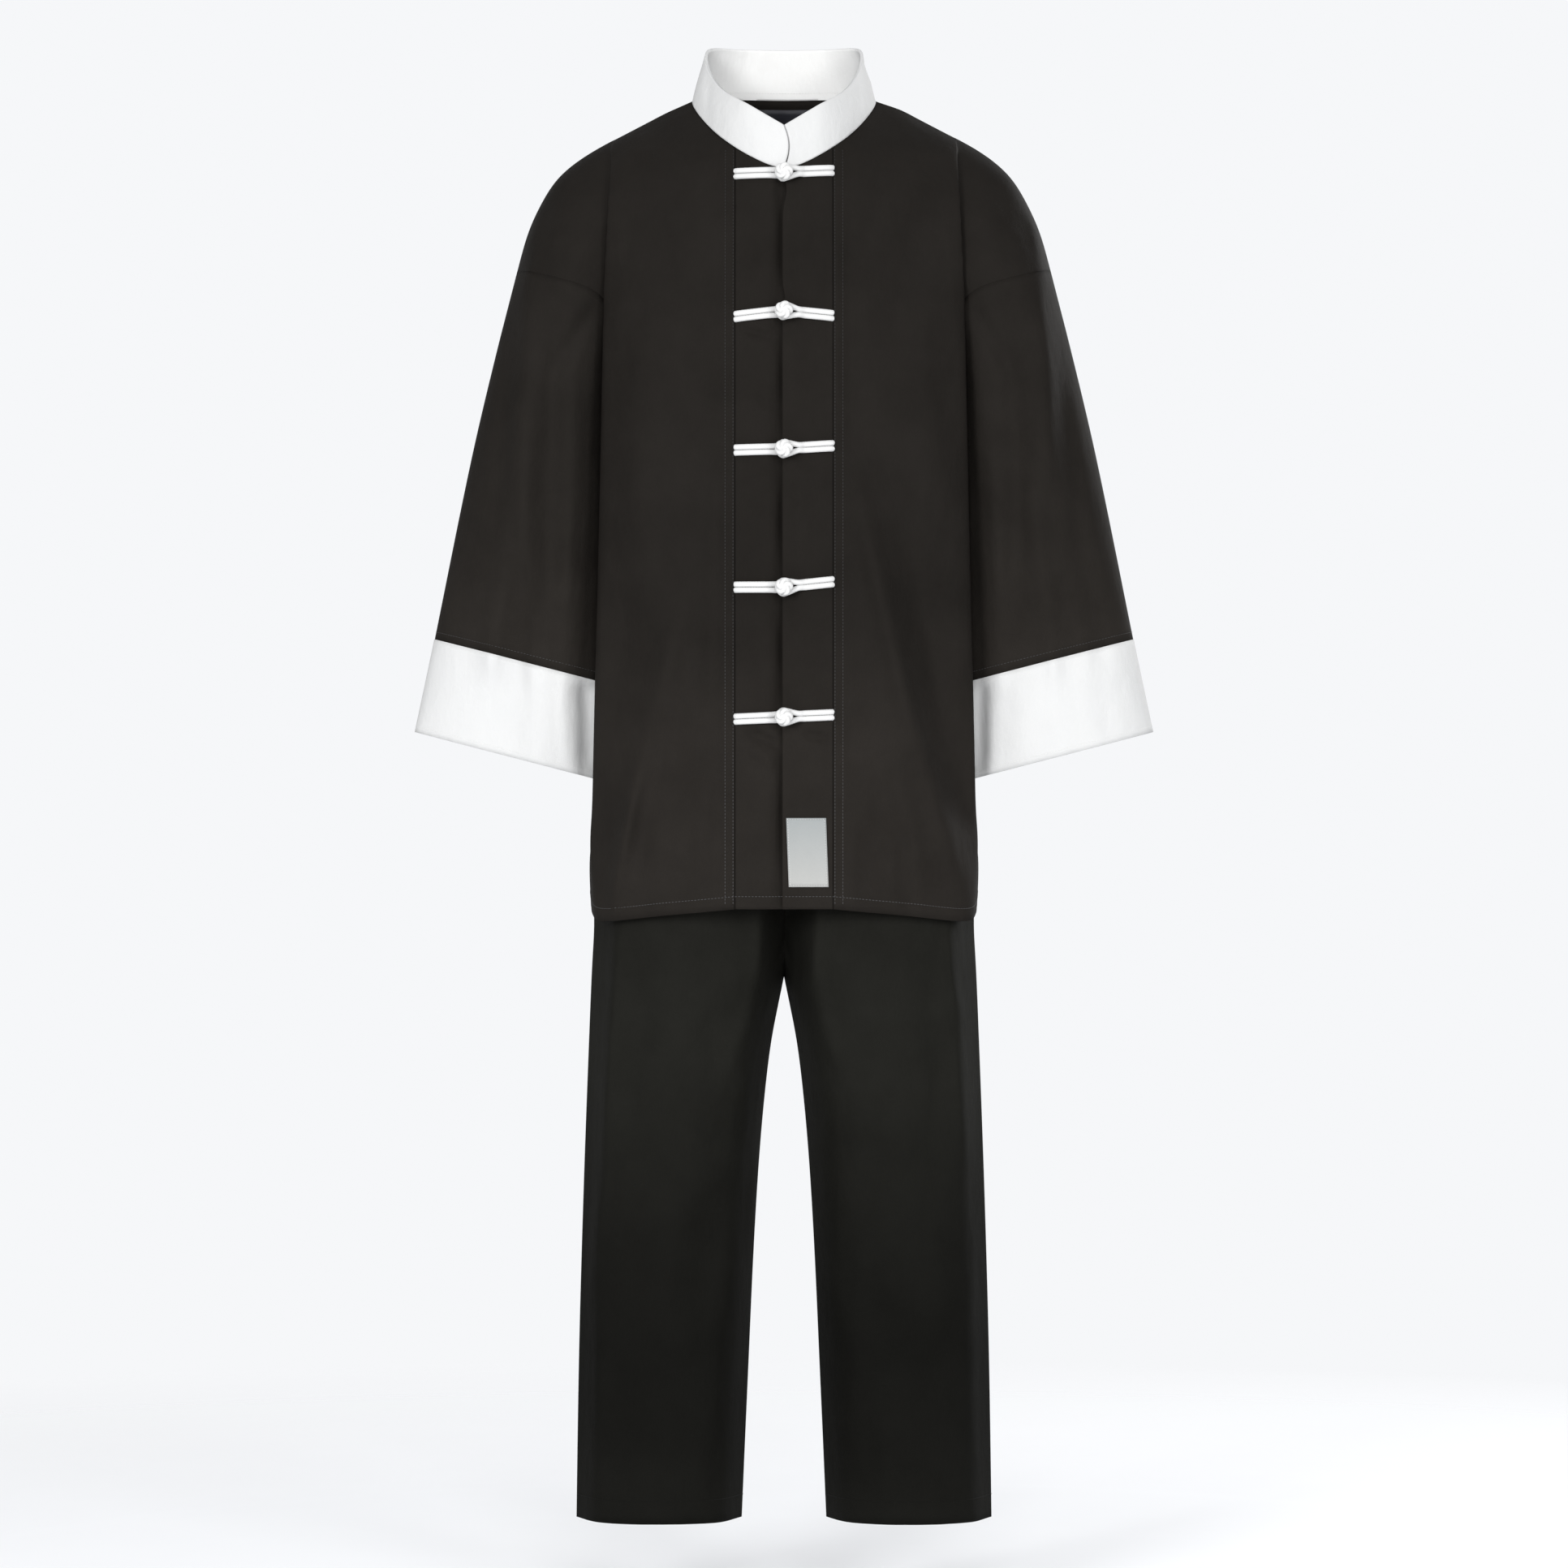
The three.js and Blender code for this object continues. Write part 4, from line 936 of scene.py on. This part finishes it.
def thread_material(name, low, high, shine, tones=None):
    """Spun thread. tones make it lighter or darker by height."""
    material, place, shader = new_material(name, Specular_IOR_Level=shine)
    ply = place.noise(1500, 2, 0.6)
    colour = ply.between(low, high)
    if tones:
        colour = colour.times(graded(place.xyz()[2], tones))
    place.feed(shader.inputs["Base Color"], colour)
    place.feed(shader.inputs["Roughness"], (ply - 0.5) * 0.2 + 0.55)
    place.feed(shader.inputs["Normal"], ply.bump(0.0001, 0.5))
    return material


THREAD_TONES = [(-0.08, 0.55), (-0.5, 1), (-0.7, 1.7)]
dark_thread = thread_material("dark_thread", (0.026, 0.026, 0.027), (0.06, 0.06, 0.063), 0.25, THREAD_TONES)
black_thread = thread_material("black_thread", (0.002, 0.002, 0.002), (0.006, 0.006, 0.005), 0.1)
pale_thread = thread_material("pale_thread", (0.6, 0.6, 0.59), (0.7, 0.7, 0.69), 0.3)
# How far the middle of a stitch lies off the cloth.
THREAD_LIFT = 0.12


def edge_row(tree, centre, down, across, inset, count=90, reach=0.4, turns=(0, 360), inside=False):
    """A row at a constant distance from the open edge of a tube or part of one. turns are the angles, in
    degrees, that it goes through, from across towards down x across. The edge is found by halving the
    stretch down from the centre, up to a third of the reach, in which the cloth ends."""
    other = down.cross(across).normalized()
    row = []
    for k in range(count + 1):
        angle = math.radians(turns[0] + (turns[1] - turns[0]) * k / count)
        out = across * math.cos(angle) + other * math.sin(angle)

        def hit(s):
            here = centre + down * s
            if inside:
                return tree.ray_cast(here, out, reach)[0]
            return tree.ray_cast(here + out * reach, -out, reach)[0]

        low, high = 0.0, reach / 3
        if hit(low) is None:
            continue
        for _ in range(16):
            mid = (low + high) / 2
            low, high = (mid, high) if hit(mid) is not None else (low, mid)
        found = hit(low - inset * MM)
        if found is not None:
            row.append(found + out * THREAD_LIFT * MM * (-1 if inside else 1))
    return row


# The rows beside each band seam, from top to foot. Rays to them stop before the jacket's back.
BAND_ROW_XS = (48, 55.5)
BAND_ROW_TOP, BAND_ROW_FOOT, BAND_ROW_STEP = -56, -790, -8
FRONT_ONLY = 0.46
placket_rows = []
for side, sign in SIDES.items():
    front_tree = surface_of(fronts[side])
    for x in BAND_ROW_XS:
        row = []
        for z in range(BAND_ROW_TOP, BAND_ROW_FOOT, BAND_ROW_STEP):
            start = Vector((sign * x * MM, BEFORE, z * MM))
            found = front_tree.ray_cast(start, BACKWARDS, FRONT_ONLY)[0]
            if found is not None:
                row.append(found + forwards(THREAD_LIFT))
        placket_rows.append(row)
sew("band_stitches", placket_rows, dark_thread)

DOWN, ACROSS = Vector((0, 0, -1)), Vector((1, 0, 0))
body_tree = surface_of(back, *fronts.values(), *bands.values())
hem_row = edge_row(body_tree, Vector((0, 0, -0.70)), DOWN, ACROSS, inset=12, count=220, reach=0.3)
sew("jacket_hem_stitches", [hem_row], dark_thread)

arm_rows, cuff_rows = [], []
for side, sign in SIDES.items():
    slope = Vector((sign * SLOPE_OUT, 0, -SLOPE_DOWN))
    level = Vector((SLOPE_DOWN, 0, sign * SLOPE_OUT))
    in_sleeve, in_cuff = Vector((sign * 0.235, 0, -0.40)), Vector((sign * 0.262, 0, -0.585))
    cuff_tree = surface_of(cuffs[side])
    arm_rows.append(edge_row(surface_of(sleeves[side]), in_sleeve, slope, level, inset=2.5))
    cuff_rows.append(edge_row(cuff_tree, in_cuff, slope, level, inset=6))
    cuff_rows.append(edge_row(cuff_tree, in_cuff, -slope, level, inset=3))
sew("sleeve_stitches", arm_rows, dark_thread)
sew("cuff_stitches", cuff_rows, pale_thread, spacing=2.8, length=2, width=0.5)

leg_rows = []
for side, sign in SIDES.items():
    leg_tree = surface_of(legs["front", side], legs["back", side])
    in_leg = Vector((sign * 0.12, 0, -1.28))
    leg_rows.append(edge_row(leg_tree, in_leg, DOWN, ACROSS, inset=22, count=110, reach=0.3))
sew("leg_hem_stitches", leg_rows, black_thread)

in_collar = Vector((0, -0.01, 0.03))
collar_row = edge_row(
    surface_of(collar), in_collar, DOWN, ACROSS, inset=7, count=60, reach=0.2, turns=(-180, 0), inside=True)
sew("collar_stitches", [collar_row], pale_thread, spacing=2.8, length=2, width=0.5)

# The corners that the row round the hem label goes through, and the points on each side of it.
LABEL_CORNERS = [(3.4, -689.4), (38.1, -689.4), (40.5, -751.6), (5.8, -751.6), (3.4, -689.4)]
SIDE_POINTS = 8
label_tree = surface_of(hem_label)
label_row = []
for (x0, z0), (x1, z1) in zip(LABEL_CORNERS, LABEL_CORNERS[1:]):
    for k in range(SIDE_POINTS):
        x, z = x0 + (x1 - x0) * k / SIDE_POINTS, z0 + (z1 - z0) * k / SIDE_POINTS
        label_row.append(front_hit(label_tree, x, z, lift=0.1))
label_row.append(label_row[0].copy())
sew("label_stitches", [label_row], pale_thread, spacing=2.4, length=1.7, width=0.4)


# Camera, light and floor
# The camera stands level in front, far enough for the photo's slight perspective. The light is soft and
# comes from all round, stronger from both sides of the front.

# The photo's width, and what one pixel of it is at the garment's middle, in millimetres.
PHOTO_PIXELS, PIXEL = 1932, 0.78
DISTANCE, CAMERA_HEIGHT, SENSOR = 5.5, -0.656, 36
camera_data = bpy.data.cameras.new("camera")
camera_data.sensor_width = SENSOR
camera_data.lens = SENSOR * DISTANCE / (PHOTO_PIXELS * PIXEL * MM)
camera = bpy.data.objects.new("camera", camera_data)
camera.location = (0, -DISTANCE, CAMERA_HEIGHT)
camera.rotation_euler = (math.radians(90), 0, 0)
scene.collection.objects.link(camera)
scene.camera = camera
scene.view_settings.view_transform = "Standard"

# The studio is pale, and paler behind the garment than before it.
STUDIO_BEFORE, STUDIO_BEHIND = (0.6, 0.606, 0.615), (0.921, 0.93, 0.947)
world = bpy.data.worlds.new("studio")
world.use_nodes = True
studio = world.node_tree
start = studio.nodes.new("ShaderNodeTexCoord")
_, backwards, _ = Value(studio, start.outputs["Generated"]).xyz()
glow = (backwards * 6 - 4.2).clamp().between(STUDIO_BEFORE, STUDIO_BEHIND)
glow.feed(studio.nodes["Background"].inputs["Color"], glow)
scene.world = world

Lamp = namedtuple("Lamp", "name place size power")
LAMPS = [
    Lamp("left_softbox", (-1.9, -4.0, 0.2), 1.2, 102),
    Lamp("right_softbox", (2.0, -3.8, -0.2), 1.2, 54),
    Lamp("front_softbox", (0.2, -4.0, 0.9), 1.1, 50),
    Lamp("rear_softbox", (2.7, 2.7, 0.8), 1, 80),
]
LAMP_AIM = Vector((0, 0, -0.6))
for lamp in LAMPS:
    data = bpy.data.lights.new(lamp.name, "AREA")
    data.size, data.energy = lamp.size, lamp.power
    light = bpy.data.objects.new(lamp.name, data)
    light.location = lamp.place
    light.rotation_euler = (LAMP_AIM - light.location).to_track_quat("-Z", "Y").to_euler()
    scene.collection.objects.link(light)

# The floor is a disc below the legs, which fades out towards its edge.
FLOOR_RADIUS, FLOOR_HEIGHT = 2.4, -1.44
bm = bmesh.new()
bmesh.ops.create_circle(bm, cap_ends=True, segments=96, radius=FLOOR_RADIUS)
floor_mesh = bpy.data.meshes.new("floor")
bm.to_mesh(floor_mesh)
bm.free()
floor_material, place, shader = new_material(
    "pale_floor", Roughness=0.95, Specular_IOR_Level=0.1, Emission_Color=(1, 1, 1, 1), Emission_Strength=0.06)
x, y, _ = place.xyz()
fade = ((x * x + y * y).math("SQRT") * -0.75 + 1.7).clamp()
grain = place.noise(6, 3, 0.5)
place.feed(shader.inputs["Base Color"], grain.between((0.825, 0.832, 0.848), (0.845, 0.852, 0.868)))
place.feed(shader.inputs["Alpha"], fade)
floor = bpy.data.objects.new("floor", floor_mesh)
floor.location = (0, 0, FLOOR_HEIGHT)
floor.data.materials.append(floor_material)
scene.collection.objects.link(floor)
